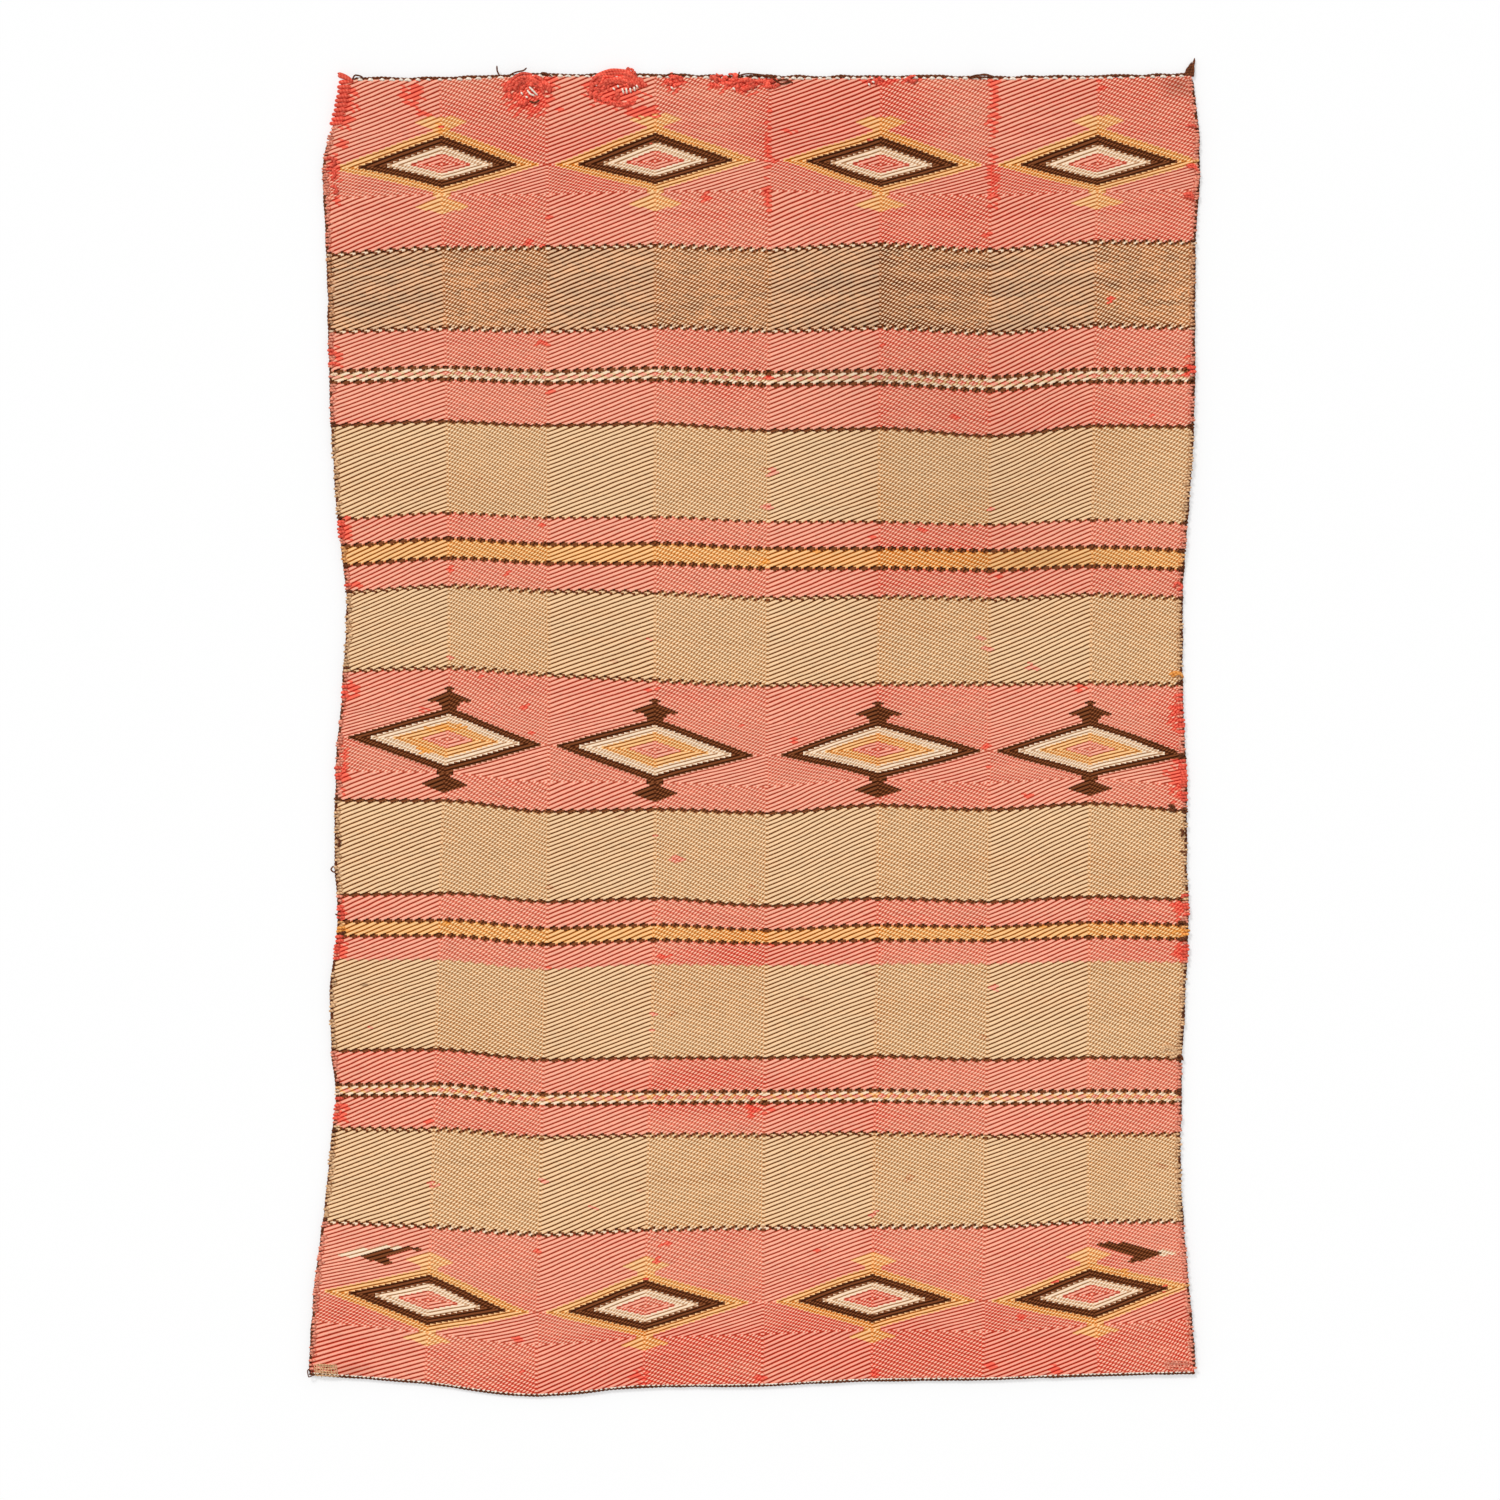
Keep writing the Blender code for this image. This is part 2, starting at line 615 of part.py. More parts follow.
def diamond_rows():
    # The inlays of the three rows, and the pockets that they need in their bands
    pockets = {}
    for row_name, band, row_share, design in DIAMOND_ROWS:
        top_depth, bottom_depth = piece_depths(band)
        depth = top_depth + (bottom_depth - top_depth) * row_share
        centres = [(turn_x(turn, weft_y(depth, turn)), weft_y(depth, turn))
                   for turn in DIAMOND_TURNS]
        spacing = min(after[0] - here[0] for here, after in zip(centres, centres[1:]))
        half_width = spacing / 2 - design["gap"]
        pockets[band] = []
        for place, centre in enumerate(centres, 1):
            limit = edge_x(RIGHT_EDGE_SHARES, centre[1]) - SIDE_CORD - 2 * SELVEDGE_WALL
            loops = nested(design, centre, half_width, limit)
            faces = inlay_faces(loops, web_between_warps(centre))
            make_object(f"{row_name}_{place}", faces)
            pockets[band].append(grown(loops[0][1], SEAM))
    pockets[HOOK_BAND] += hooks(pockets[HOOK_BAND])
    return pockets


def crossings(loop, x):
    # The heights at which the upright line at x meets a loop
    heights = []
    for (ax, ay), (bx, by) in zip(loop, loop[1:] + loop[:1]):
        if min(ax, bx) <= x <= max(ax, bx) and ax != bx:
            heights.append(ay + (by - ay) * (x - ax) / (bx - ax))
    return heights


def lift_over(loop, others):
    # How far a loop has to rise to lie clear of what is under it
    lift = 0.0
    for other in others:
        for x in [point[0] for point in loop + other]:
            over, under = crossings(loop, x), crossings(other, x)
            if over and under:
                lift = max(lift, max(under) + HOOK_CLEARANCE - min(over))
    return lift


def hooks(below):
    top_depth, bottom_depth = piece_depths(HOOK_BAND)
    depth = top_depth + (bottom_depth - top_depth) * HOOK_DEPTH_SHARE
    pockets = []
    outer_share = min(u for u, _ in HOOK_SHARES)
    for side, edge_shares, facing, margin in HOOK_PLACES:
        y = weft_y(depth, 1 if facing > 0 else TURNS) - HOOK_HEIGHT / 2
        inset = SIDE_CORD + 2 * SELVEDGE_WALL + margin
        x = edge_x(edge_shares, y) + facing * (inset - outer_share * HOOK_LENGTH)
        *loop, web_middle = [
            (x + facing * u * HOOK_LENGTH, y + v * HOOK_HEIGHT)
            for u, v in (*HOOK_SHARES, HOOK_WEB_SHARES)
        ]
        lift = lift_over(loop, below)
        loop = [(px, py + lift) for px, py in loop]
        web_middle = (web_middle[0], web_middle[1] + lift)
        faces = inlay_faces([("dark", loop)], web_between_warps(web_middle))
        make_object(f"unfinished_point_{side}", faces)
        pockets.append(grown(loop, SEAM))
    return pockets


# Edge cords and corners
def cord(name, points, diameter):
    curve = bpy.data.curves.new(name, "CURVE")
    curve.dimensions = "3D"
    curve.bevel_depth = diameter / 2
    curve.bevel_resolution = CORD_RESOLUTION
    curve.use_fill_caps = True
    spline = curve.splines.new("POLY")
    spline.points.add(len(points) - 1)
    for target, (x, y) in zip(spline.points, points):
        target.co = (x, y, CLOTH_THICKNESS / 2, 1.0)
    curve.materials.append(yarn_material("dark"))
    made = bpy.data.objects.new(name, curve)
    bpy.context.collection.objects.link(made)
    return made


def edge_cords():
    # The end cords run from side to side and the side cords between them. Where the tassel is,
    # both stop short of its knot
    reach = KNOT_LENGTH / 2 + SEAM
    top = [(x, y - END_CORD / 2) for x, y in weft_line(0.0, SIDE_CORD / 2)]
    bottom = [(x, y + END_CORD / 2) for x, y in weft_line(BLANKET_LENGTH, 0.0)]
    knot = top[-1]
    top[0] = (top[0][0] - SIDE_CORD / 2, top[0][1])
    top[-1] = trimmed(top, reach)[-1]
    cord("end_cord_top", top, END_CORD)
    cord("end_cord_bottom", bottom, END_CORD)
    beside = END_CORD / 2 + SEAM
    for name, shares, inset, top_y, bottom_y in (
        ("side_cord_left", LEFT_EDGE_SHARES, SIDE_CORD / 2,
         top[0][1] - beside, bottom[0][1] + beside),
        ("side_cord_right", RIGHT_EDGE_SHARES, -SIDE_CORD / 2,
         knot[1] - reach, bottom[-1][1] + beside),
    ):
        run = edge_points(shares, top_y, bottom_y, inset)
        start = (edge_x(shares, top_y) + inset, top_y)
        finish = (edge_x(shares, bottom_y) + inset, bottom_y)
        cord(name, [start, *run, finish], SIDE_CORD)
    return knot


def corner_tassel(corner):
    # A knot and its brush, as flattened rings along the way that it leans
    middle = Vector((*corner, CLOTH_THICKNESS / 2))
    along = Vector((*TASSEL_LEAN_SHARES, 0.0)).normalized()
    across = Vector((-along.y, along.x, 0.0))
    upward = Vector((0.0, 0.0, CLOTH_THICKNESS / 2))
    profile = [
        (place * KNOT_LENGTH, width * KNOT_WIDTH, rise)
        for place, width, rise in KNOT_RING_SHARES
    ]
    profile += [
        (KNOT_LENGTH / 2 + place * TASSEL_LENGTH, width * TASSEL_WIDTH, rise)
        for place, width, rise in BRUSH_RING_SHARES
    ]
    turned = [math.tau * side / TASSEL_SIDES for side in range(TASSEL_SIDES)]
    rings = [
        [
            tuple(middle + along * place + across * math.cos(turn) * half_width
                  + upward * math.sin(turn) * rise)
            for turn in turned
        ]
        for place, half_width, rise in profile
    ]
    faces = [rings[0], rings[-1]]
    for ring, after in zip(rings, rings[1:]):
        sides = zip(ring, ring[1:] + ring[:1], after[1:] + after[:1], after)
        faces += [list(corners) for corners in sides]
    return make_object("corner_tassel", [("dark", faces)])


def centre_on_origin():
    # The origin goes under the middle of the whole piece
    graph = bpy.context.evaluated_depsgraph_get()
    made = list(bpy.context.collection.objects)
    corners = []
    for piece in made:
        shaped = piece.evaluated_get(graph)
        corners += [vertex.co.copy() for vertex in shaped.to_mesh().vertices]
        shaped.to_mesh_clear()
    low = Vector(min(values) for values in zip(*corners))
    high = Vector(max(values) for values in zip(*corners))
    for piece in made:
        piece.location.x -= (low.x + high.x) / 2
        piece.location.y -= (low.y + high.y) / 2


clear_scene()
POCKETS = diamond_rows()
BAND_NUMBERS = {band[0]: number for number, band in enumerate(BANDS)}
for piece_name, piece_yarn, top_of_piece, bottom_of_piece in PIECES:
    piece_pockets = POCKETS.get(BAND_NUMBERS.get(piece_name), [])
    sleeve(piece_name, piece_yarn, top_of_piece, bottom_of_piece, piece_pockets)
warp_yarn()
corner_tassel(edge_cords())
centre_on_origin()
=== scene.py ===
# Handwoven wool double saddle blanket: weft-faced twill that turns seven times across the width,
# with three rows of nested diamonds, dark bound edges, and the wear of long use.
# Lengths are in millimetres until a mesh is made. +X runs across the warps, +Y up the photograph.
import math

import bpy
import numpy as np
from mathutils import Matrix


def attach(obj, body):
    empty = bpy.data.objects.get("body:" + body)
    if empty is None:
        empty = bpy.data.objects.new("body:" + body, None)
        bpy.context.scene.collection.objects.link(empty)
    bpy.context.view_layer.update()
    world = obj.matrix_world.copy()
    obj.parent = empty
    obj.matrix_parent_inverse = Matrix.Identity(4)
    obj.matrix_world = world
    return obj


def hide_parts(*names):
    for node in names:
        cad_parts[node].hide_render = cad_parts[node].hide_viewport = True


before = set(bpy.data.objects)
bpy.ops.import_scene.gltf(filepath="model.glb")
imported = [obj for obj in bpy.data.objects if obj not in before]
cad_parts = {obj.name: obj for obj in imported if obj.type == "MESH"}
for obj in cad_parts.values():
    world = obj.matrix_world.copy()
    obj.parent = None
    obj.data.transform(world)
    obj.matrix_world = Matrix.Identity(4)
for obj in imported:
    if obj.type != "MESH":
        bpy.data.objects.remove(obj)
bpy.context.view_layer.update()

mm = 0.001
print("CAD nodes to dress", len(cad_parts))

# The photograph: its scale on the cloth, and the pixel that lies over the sheet's own middle
photo = {"mmPerPixel": 0.975, "middle": (752.0, 729.0), "frame": 1500}

cloth = {
    "width": 840.0,
    "length": 1272.0,
    "thickness": 4.8,  # crest to crest, both faces
    "endCord": 4.15,
    "edgeInset": 2.0,  # the weft stops this far inside the outline, under the cord
    "pick": 1.043,  # one weft pick, beaten down hard
    "warp": 2.78,  # from one warp to the next
    "warpsBetweenTurns": (38, 38, 38, 40, 40, 38, 38, 34),
    "rib": (0.0, 0.75, 1.0, 0.75),  # how high the four steps of one twill rib stand
    "relief": 0.5,  # depth of the furrow between two ribs
    "endsClose": (0.55, 0.85, 0.97),  # how far apart the two skins are at the outer picks
    "sidesClose": (0.35, 0.8, 0.97),  # and at the outer warps
    "middle": (-2.65, -1.03),  # the sheet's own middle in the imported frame
}
ribRepeat = len(cloth["rib"])
crest = ribRepeat // 2

# Each band as its CAD node, yarn, height, and the dark stripe under it
bands = (
    ("band_01_top_coral", "coral", 160.0, "plied"),
    ("band_02_heather_brown", "heather", 75.0, "plied"),
    ("band_03_coral", "coral", 35.5, "dotted"),
    ("band_04_narrow_cream", "cream", 7.5, "dotted"),
    ("band_05_coral", "coral", 38.5, "plied"),
    ("band_06_tan", "tan", 86.5, "fine"),
    ("band_07_coral", "coral", 22.0, "dotted"),
    ("band_08_gold", "gold", 14.5, "dotted"),
    ("band_09_coral", "coral", 24.0, "fine"),
    ("band_10_tan", "tan", 79.0, "plied"),
    ("band_11_centre_coral", "coral", 119.5, "plied"),
    ("band_12_tan", "tan", 84.5, "plied"),
    ("band_13_coral", "coral", 20.5, "dotted"),
    ("band_14_gold", "gold", 10.0, "dotted"),
    ("band_15_coral", "coral", 21.0, None),
    ("band_16_tan", "tan", 88.5, "plied"),
    ("band_17_coral", "coral", 28.0, "dotted"),
    ("band_18_narrow_cream", "cream", 6.5, "dotted"),
    ("band_19_coral", "coral", 27.0, "plied"),
    ("band_20_tan", "tan", 85.5, "plied"),
    ("band_21_bottom_coral", "coral", 144.5, None),
)
# Each kind of stripe: its height, and its picks from the top as yarn and height
stripes = {
    "plied": {"height": 4.9, "picks": (("dark", 1.45), ("cream", 0.95), ("dark", 1.45))},
    "dotted": {"height": 4.4, "picks": (("dark", 1.65), ("dark", 1.65))},
    "fine": {"height": 3.2, "picks": (("dark", 1.6),)},
}
# The stripes, by number, whose picks differ from their kind's
rope = (("dark", 1.35), ("tan", 0.8), ("dark", 1.35))
solid = (("dark", 0.95), ("dark", 0.95), ("dark", 0.95))
smallDots = (("dark", 1.4), ("dark", 1.4))
pickChanges = {5: solid, 9: rope, 10: rope, 11: solid, 12: solid, 13: smallDots, 14: smallDots,
               15: solid, 16: smallDots, 17: smallDots, 18: rope}
# The narrow bands keep their own yarn at either edge, with another between and coral in the middle
narrowBands = {
    "centres": {"band_04_narrow_cream": "tan", "band_18_narrow_cream": "straw"},
    "edgePicks": 2,
    "coralPicks": 2,
}

# Where the twill turns, as shares of the width at six levels down the sheet
turns = {
    "levels": (0.0, 0.474, 0.543, 0.9, 0.96, 1.0),
    "shares": (
        (-0.362, -0.238, -0.1125, 0.021, 0.150, 0.276, 0.402),
        (-0.351, -0.236, -0.1125, 0.0178, 0.1467, 0.275, 0.393),
        (-0.357, -0.236, -0.1125, 0.0173, 0.1463, 0.275, 0.392),
        (-0.3735, -0.2475, -0.1227, 0.0129, 0.1407, 0.2695, 0.390),
        (-0.377, -0.2495, -0.1245, 0.012, 0.1395, 0.2685, 0.399),
        (-0.379, -0.2505, -0.1255, 0.0115, 0.139, 0.268, 0.404),
    ),
}
leftEdge = (
    (0.0, -0.4770), (0.026, -0.485), (0.072, -0.4985), (0.133, -0.4945), (0.270, -0.4885),
    (0.355, -0.4785), (0.400, -0.471), (0.480, -0.477), (0.525, -0.483), (0.600, -0.4845),
    (0.645, -0.4805), (0.705, -0.490), (0.746, -0.4885), (0.780, -0.483), (0.815, -0.488),
    (0.880, -0.499), (0.940, -0.5095), (1.0, -0.515),
)
rightEdge = (
    (0.0, 0.5125), (0.068, 0.5205), (0.133, 0.515), (0.270, 0.513), (0.355, 0.504),
    (0.400, 0.500), (0.480, 0.5005), (0.550, 0.505), (0.605, 0.505), (0.640, 0.507),
    (0.693, 0.504), (0.755, 0.499), (0.845, 0.498), (0.890, 0.5026), (0.940, 0.5095),
    (1.0, 0.5165),
)

# The weft rises and falls as the beating left it: the seam under each band, or the middle line of
# a row of diamonds for a half, at the left edge, the seven turns and the right edge, as shares of
# beatWave
beatWave = 10.0
waveShares = {
    0: (0.05, 0.15, 0.45, 0.4, 0.3, 0.25, 0.25, 0.3, 0.45),
    0.5: (-0.35, 0.0, 0.05, 0.3, 0.43, -0.05, -0.1, 0.1, 0.3),
    1: (-0.65, -0.05, -0.05, 0.1, -0.2, 0.25, -0.3, 0.5, 0.4),
    2: (-0.25, 0.1, -0.15, 0.25, -0.15, 0.15, -0.4, 0.3, 0.15),
    5: (0.1, 0.55, 0.15, 0.35, -0.3, -0.15, -0.85, 0.05, 0.05),
    7: (0.05, 0.75, 0.25, 0.25, -0.2, -0.2, -0.45, 0.0, -0.4),
    9: (0.25, 0.8, 0.25, 0.2, -0.4, -0.3, -0.45, -0.05, -0.4),
    10: (0.8, 1.1, 0.45, -0.05, -0.55, -0.4, -0.4, -0.3, -0.6),
    10.5: (1.19, 0.88, 0.29, -0.15, -0.63, -0.1, -0.24, -0.05, -0.63),
    11: (0.6, 0.65, -0.4, -0.25, -0.55, 0.2, -0.3, 0.35, -0.3),
    12: (0.4, 0.6, -0.25, 0.05, -0.7, 0.05, -0.3, 0.2, -0.1),
    15: (0.35, 0.35, -0.6, -0.15, -0.2, -0.1, 0.0, 0.25, 0.0),
    16: (0.55, 0.65, -0.35, -0.1, -0.1, 0.0, -0.35, -0.1, -0.25),
    19: (0.45, 0.45, -0.35, -0.2, -0.1, 0.0, -0.2, -0.05, -0.05),
    20: (0.4, 0.0, -0.75, -0.3, -0.2, -0.1, 0.0, 0.4, 0.55),
    20.5: (0.86, -0.17, -1.29, -0.7, -0.36, -0.02, -0.21, 0.47, 1.25),
    21: (0.45, -0.47, -1.65, -0.85, -0.7, -0.22, -0.1, 0.35, 0.45),
}

# Diamonds are counted out on the loom: a loop of colour ends where its warps from the turn and its
# picks from the row's middle add up to its number. The twill turns back at that middle too, so
# the ribs run round each diamond and every loop is a whole number of them
outerLoops = (("gold", 35.5), ("dark", 28), ("cream", 19), ("coral", 11))
centreLoops = (("dark", 36), ("cream", 28), ("gold", 20), ("coral", 10))
# Rows: the band each lies in, the depth of its middle, how tight its picks are packed in the
# upper and in the lower half, its loops, and the small stars on the upper and lower points: picks
# from the row's middle, then each shape's warps to either side and picks up or down
diamondRows = {
    "top_diamond": {"band": 0, "middle": 86.0, "pitch": (0.99, 0.785), "loops": outerLoops,
                    "star": "straw", "stars": ((40.5, ((9.3, 7.5),)), (47, ((8.8, 8),)))},
    "centre_diamond": {"band": 10, "middle": 655.0, "pitch": (0.84, 0.86),
                       "loops": centreLoops, "star": "dark",
                       "stars": ((42.5, ((5.0, 13), (8.8, 6.8))), (46, ((7.9, 7.8),)))},
    "bottom_diamond": {"band": 20, "middle": 1191.5, "pitch": (0.885, 0.83),
                       "loops": outerLoops, "star": "straw",
                       "stars": ((42, ((8.8, 8),)), (41, ((9.3, 7.5),)))},
}
diamondTurns = (1, 3, 5, 7)
halfPicks = 36
starNeck = {"warps": 2.2, "picks": 30}  # its half width, and where it leaves the diamond
# The last centre diamond's dark point runs on to the selvedge
longPoint = {"diamond": 4, "warps": 30, "pick": 1, "halfHigh": 4}


def fromPhoto(px, py):
    # a photograph pixel as millimetres on the sheet
    x = (px - photo["middle"][0]) * photo["mmPerPixel"]
    y = (photo["middle"][1] - py) * photo["mmPerPixel"]
    return x, y


def smoothCurve(places, values, at):
    # an even curve through given points, with no overshoot
    places = np.asarray(places, float)
    values = np.asarray(values, float)
    at = np.clip(np.asarray(at, float), places[0], places[-1])
    steps = np.diff(places).reshape(-1, *[1] * (values.ndim - 1))
    secants = np.diff(values, axis=0) / steps
    slopes = np.zeros_like(values)
    before, after = secants[:-1], secants[1:]
    same = before * after > 0
    total = np.where(same, before + after, 1.0)
    slopes[1:-1] = np.where(same, 2 * before * after / total, 0.0)
    slopes[0], slopes[-1] = secants[0], secants[-1]
    index = np.clip(np.searchsorted(places, at, side="right") - 1, 0, len(places) - 2)
    step = steps[index]
    t = ((at - places[index]) / np.diff(places)[index]).reshape(-1, *[1] * (values.ndim - 1))
    return (
        (1 + 2 * t) * (1 - t) ** 2 * values[index] + t * (1 - t) ** 2 * step * slopes[index]
        + t * t * (3 - 2 * t) * values[index + 1] + t * t * (t - 1) * step * slopes[index + 1]
    )


def softNoise(shape, cell, seed):
    # smooth random hills from -1 to 1, one hill every cell rows and columns
    rng = np.random.default_rng(seed)
    coarse = rng.uniform(-1, 1, [int(n / c) + 3 for n, c in zip(shape, cell)])
    for axis in (0, 1):
        at = np.arange(shape[axis]) / cell[axis]
        low = at.astype(int)
        t = at - low
        t = t * t * (3 - 2 * t)
        t = t.reshape((-1, 1) if axis == 0 else (1, -1))
        coarse = np.take(coarse, low, axis) * (1 - t) + np.take(coarse, low + 1, axis) * t
    return coarse


def hills(shape, layers, seed=0, base=0):
    # soft noise in layers, each with its own number counted on from the seed
    return sum((amount * softNoise(shape, cell, seed + number)
                for amount, cell, number in layers), base)


# Where the cloth doesn't lie quite flat: its mean lift off the floor, and hills as their share of
# it, their lengths across and along, and where they start
lie = {"mean": 1.3, "hills": ((0.45, 83, 141, 0.6), (0.4, 127, -66, 2.1), (0.15, 31, 47, 1.0))}


def cushion(x, y):
    # how far the cloth is off the floor
    lift = 1
    for share, across, along, start in lie["hills"]:
        lift = lift + share * np.sin(x / across + y / along + start)
    return lie["mean"] * lift


def heightAt(x, y):
    # the top of the cloth
    return cushion(x, y) + cloth["thickness"]


# Picks: every row of weft from the top, with its yarn and the CAD node that it belongs to
def bandEdges(number, top, bottom, above):
    # depths of the picks of one band, packed tighter where it holds diamonds
    row = next((row for row in diamondRows.values() if row["band"] == number), None)
    if row is None:
        return list(np.linspace(top, bottom, round((bottom - top) / cloth["pick"]) + 1)[1:])
    upper, lower = row["pitch"]
    stops = [top, row["middle"] - halfPicks * upper, row["middle"],
             row["middle"] + halfPicks * lower, bottom]
    before = round((stops[1] - stops[0]) / cloth["pick"])
    # a few picks more or fewer, so that a whole rib peaks at the middle
    before -= (above + before + halfPicks + crest) % ribRepeat - crest
    row["pick"] = above + before + halfPicks
    counts = (before, halfPicks, halfPicks, round((stops[4] - stops[3]) / cloth["pick"]))
    edges = []
    for start, finish, count in zip(stops, stops[1:], counts):
        edges += list(np.linspace(start, finish, count + 1)[1:])
    return edges


def layPicks():
    # depths, yarns and owners of all picks, and the depth of each seam
    edges, yarns, owners = [cloth["endCord"]], [], []
    seams = {0: cloth["endCord"]}
    depth = cloth["endCord"]
    stripeNumber = 0
    for number, (node, yarn, height, kind) in enumerate(bands, 1):
        stripe = stripes.get(kind, {"height": 0.0, "picks": ()})
        stripeNumber += kind is not None
        picks = pickChanges.get(stripeNumber, stripe["picks"]) if kind else ()
        seams[number] = depth + height + stripe["height"] / 2
        depth += height + stripe["height"]
        deep = sum(pick[1] for pick in picks)
        added = bandEdges(number - 1, edges[-1], seams[number] - deep / 2, len(yarns))
        edges += added
        laid = [yarn] * len(added)
        if node in narrowBands["centres"]:
            edge, coral = narrowBands["edgePicks"], narrowBands["coralPicks"]
            laid[edge:-edge] = [narrowBands["centres"][node]] * (len(added) - 2 * edge)
            middle = len(added) // 2 - 1
            laid[middle:middle + coral] = ["coral"] * coral
        yarns += laid
        owners += [node] * len(added)
        for pickYarn, thick in picks:
            edges.append(edges[-1] + thick)
            yarns.append(pickYarn)
        owners += [f"stripe_{stripeNumber:02d}_{kind}_dark"] * len(picks)
    for row in diamondRows.values():
        seams[row["band"] + 0.5] = row["middle"]
    return np.array(edges), yarns, owners, seams


pickEdges, pickYarns, pickOwners, seams = layPicks()
pickCount = len(pickYarns)
columns = np.cumsum((0,) + cloth["warpsBetweenTurns"])
warpCount = int(columns[-1])
print("picks", pickCount, "warps", warpCount, "last depth", pickEdges[-1])

# Twill: the rib phase steps one way or the other at each warp and each pick
warpStep = np.repeat([1, -1] * 4, cloth["warpsBetweenTurns"])
pickStep = np.ones(pickCount, int)
for row in diamondRows.values():
    pickStep[row["pick"]:row["pick"] + halfPicks] = -1
warpPhase = np.concatenate([[0], np.cumsum(warpStep)])
pickPhase = np.concatenate([[0], np.cumsum(pickStep)])


# Unevenness of the handwork, in layers: amount, picks and warps of one hill, and seed
unevenness = {
    "across": ((0.25, (9, 3), 11), (0.5, (60, 5), 12)),
    "along": ((0.25, (5, 14), 13), (0.7, (40, 30), 14)),
    "up": ((0.12, (3, 2), 15),),
}


def sheetGrid():
    # where each crossing of a warp and a pick lies in the plane
    rows = sorted(waveShares)
    waves = smoothCurve([seams[row] for row in rows],
                        [waveShares[row] for row in rows], pickEdges) * beatWave
    share = np.clip((pickEdges[:, None] - waves) / cloth["length"], 0, 1)
    lines = np.zeros_like(waves)
    for edge, station, side in ((leftEdge, 0, 1), (rightEdge, -1, -1)):
        places, values = zip(*edge)
        lines[:, station] = smoothCurve(places, values, share[:, station]) * cloth["width"]
        lines[:, station] += side * cloth["edgeInset"]
    for turn in range(len(turns["shares"][0])):
        values = [row[turn] for row in turns["shares"]]
        lines[:, turn + 1] = smoothCurve(turns["levels"], values, share[:, turn + 1])
        lines[:, turn + 1] *= cloth["width"]
    across = np.arange(warpCount + 1)
    x = smoothCurve(columns, lines.T, across).T
    y = cloth["length"] / 2 - pickEdges[:, None] + smoothCurve(columns, waves.T, across).T
    x += hills(x.shape, unevenness["across"])
    y += hills(x.shape, unevenness["along"])
    return x, y


gridX, gridY = sheetGrid()


def skinHeights():
    # heights of the top face, the under face and the hidden middle of the cloth
    phase = warpPhase[None, :] + pickPhase[:, None]
    furrow = cloth["relief"] * (1 - np.array(cloth["rib"]))
    lift = cushion(gridX, gridY)
    thick = cloth["thickness"]
    top = thick - furrow[phase % ribRepeat] + hills(phase.shape, unevenness["up"])
    under = furrow[(phase + crest) % ribRepeat]
    middle = np.full_like(top, thick / 2)
    fall = np.ones_like(top)  # the skins close on each other at the selvedges and the ends
    for axis, shares in enumerate((cloth["endsClose"], cloth["sidesClose"])):
        for index, share in enumerate(shares):
            for place in (index, -1 - index):
                line = (place, slice(None)) if axis == 0 else (slice(None), place)
                fall[line] = np.minimum(fall[line], share)
    top = middle + (top - middle) * fall
    under = middle + (under - middle) * fall
    return top + lift, under + lift, middle + lift


topZ, underZ, middleZ = skinHeights()


def visibleFloats(extra):
    # for each cell of a face: the pick whose float covers it, and that float's middle warp
    phase = np.minimum(warpPhase[:-1], warpPhase[1:])[None, :]
    phase = (phase + np.minimum(pickPhase[:-1], pickPhase[1:])[:, None] + extra) % ribRepeat
    row = np.arange(pickCount)[:, None]
    step = pickStep[:, None]
    pick = np.where(phase == 2, row - step, np.where(phase == 3, row + step, row))
    toRight = np.where((phase == 0) | (phase == 3), warpStep, -warpStep) > 0
    middle = np.arange(warpCount)[None, :] + toRight
    return np.clip(pick, 0, pickCount - 1), np.clip(middle, 0, warpCount)


# Patches of other yarn: the yarn, the photograph's pixel at the middle, and the reach in pixels
yarnPatches = (
    ("red", (347, 100), (13, 38)), ("red", (341, 143), (6, 7)), ("red", (335, 170), (9, 18)),
    ("red", (336, 200), (5, 9)), ("red", (412, 94), (14, 18)), ("red", (422, 112), (10, 5)),
    ("red", (528, 92), (34, 30)), ("red", (618, 90), (42, 24)), ("red", (640, 112), (26, 8)),
    ("red", (674, 84), (14, 12)), ("red", (742, 84), (40, 14)), ("red", (528, 104), (22, 10)),
    ("red", (345, 531), (11, 18)), ("red", (350, 688), (10, 14)), ("red", (344, 770), (8, 30)),
    ("red", (355, 692), (9, 10)), ("red", (422, 709), (10, 5)), ("red", (340, 915), (9, 16)),
    ("orange", (340, 931), (10, 6)), ("red", (339, 948), (8, 17)), ("red", (340, 1112), (10, 15)),
    ("red", (337, 358), (7, 16)), ("red", (1178, 712), (11, 26)), ("red", (1178, 780), (12, 30)),
    ("red", (1180, 908), (10, 16)), ("orange", (1181, 932), (9, 7)), ("red", (1181, 952), (9, 15)),
    ("red", (528, 243), (8, 4)), ("red", (545, 247), (6, 3)), ("orange", (440, 128), (8, 6)),
    ("orange", (1045, 925), (8, 4)), ("red", (1187, 372), (7, 18)), ("red", (1110, 300), (7, 4)),
    ("red", (993, 100), (7, 44)), ("red", (993, 178), (7, 40)), ("red", (768, 140), (4, 40)),
    ("red", (768, 195), (6, 20)), ("red", (706, 198), (6, 8)), ("red", (905, 79), (30, 6)),
    ("red", (1102, 86), (6, 9)), ("orange", (424, 750), (10, 6)), ("orange", (445, 728), (26, 4)),
    ("orange", (1126, 1272), (9, 4)), ("red", (880, 81), (24, 6)),
    ("red", (752, 1110), (7, 26)), ("red", (990, 1367), (9, 8)), ("red", (1054, 1371), (8, 7)),
    ("red", (640, 1377), (12, 10)), ("red", (876, 1374), (8, 8)), ("red", (762, 1380), (9, 8)),
)
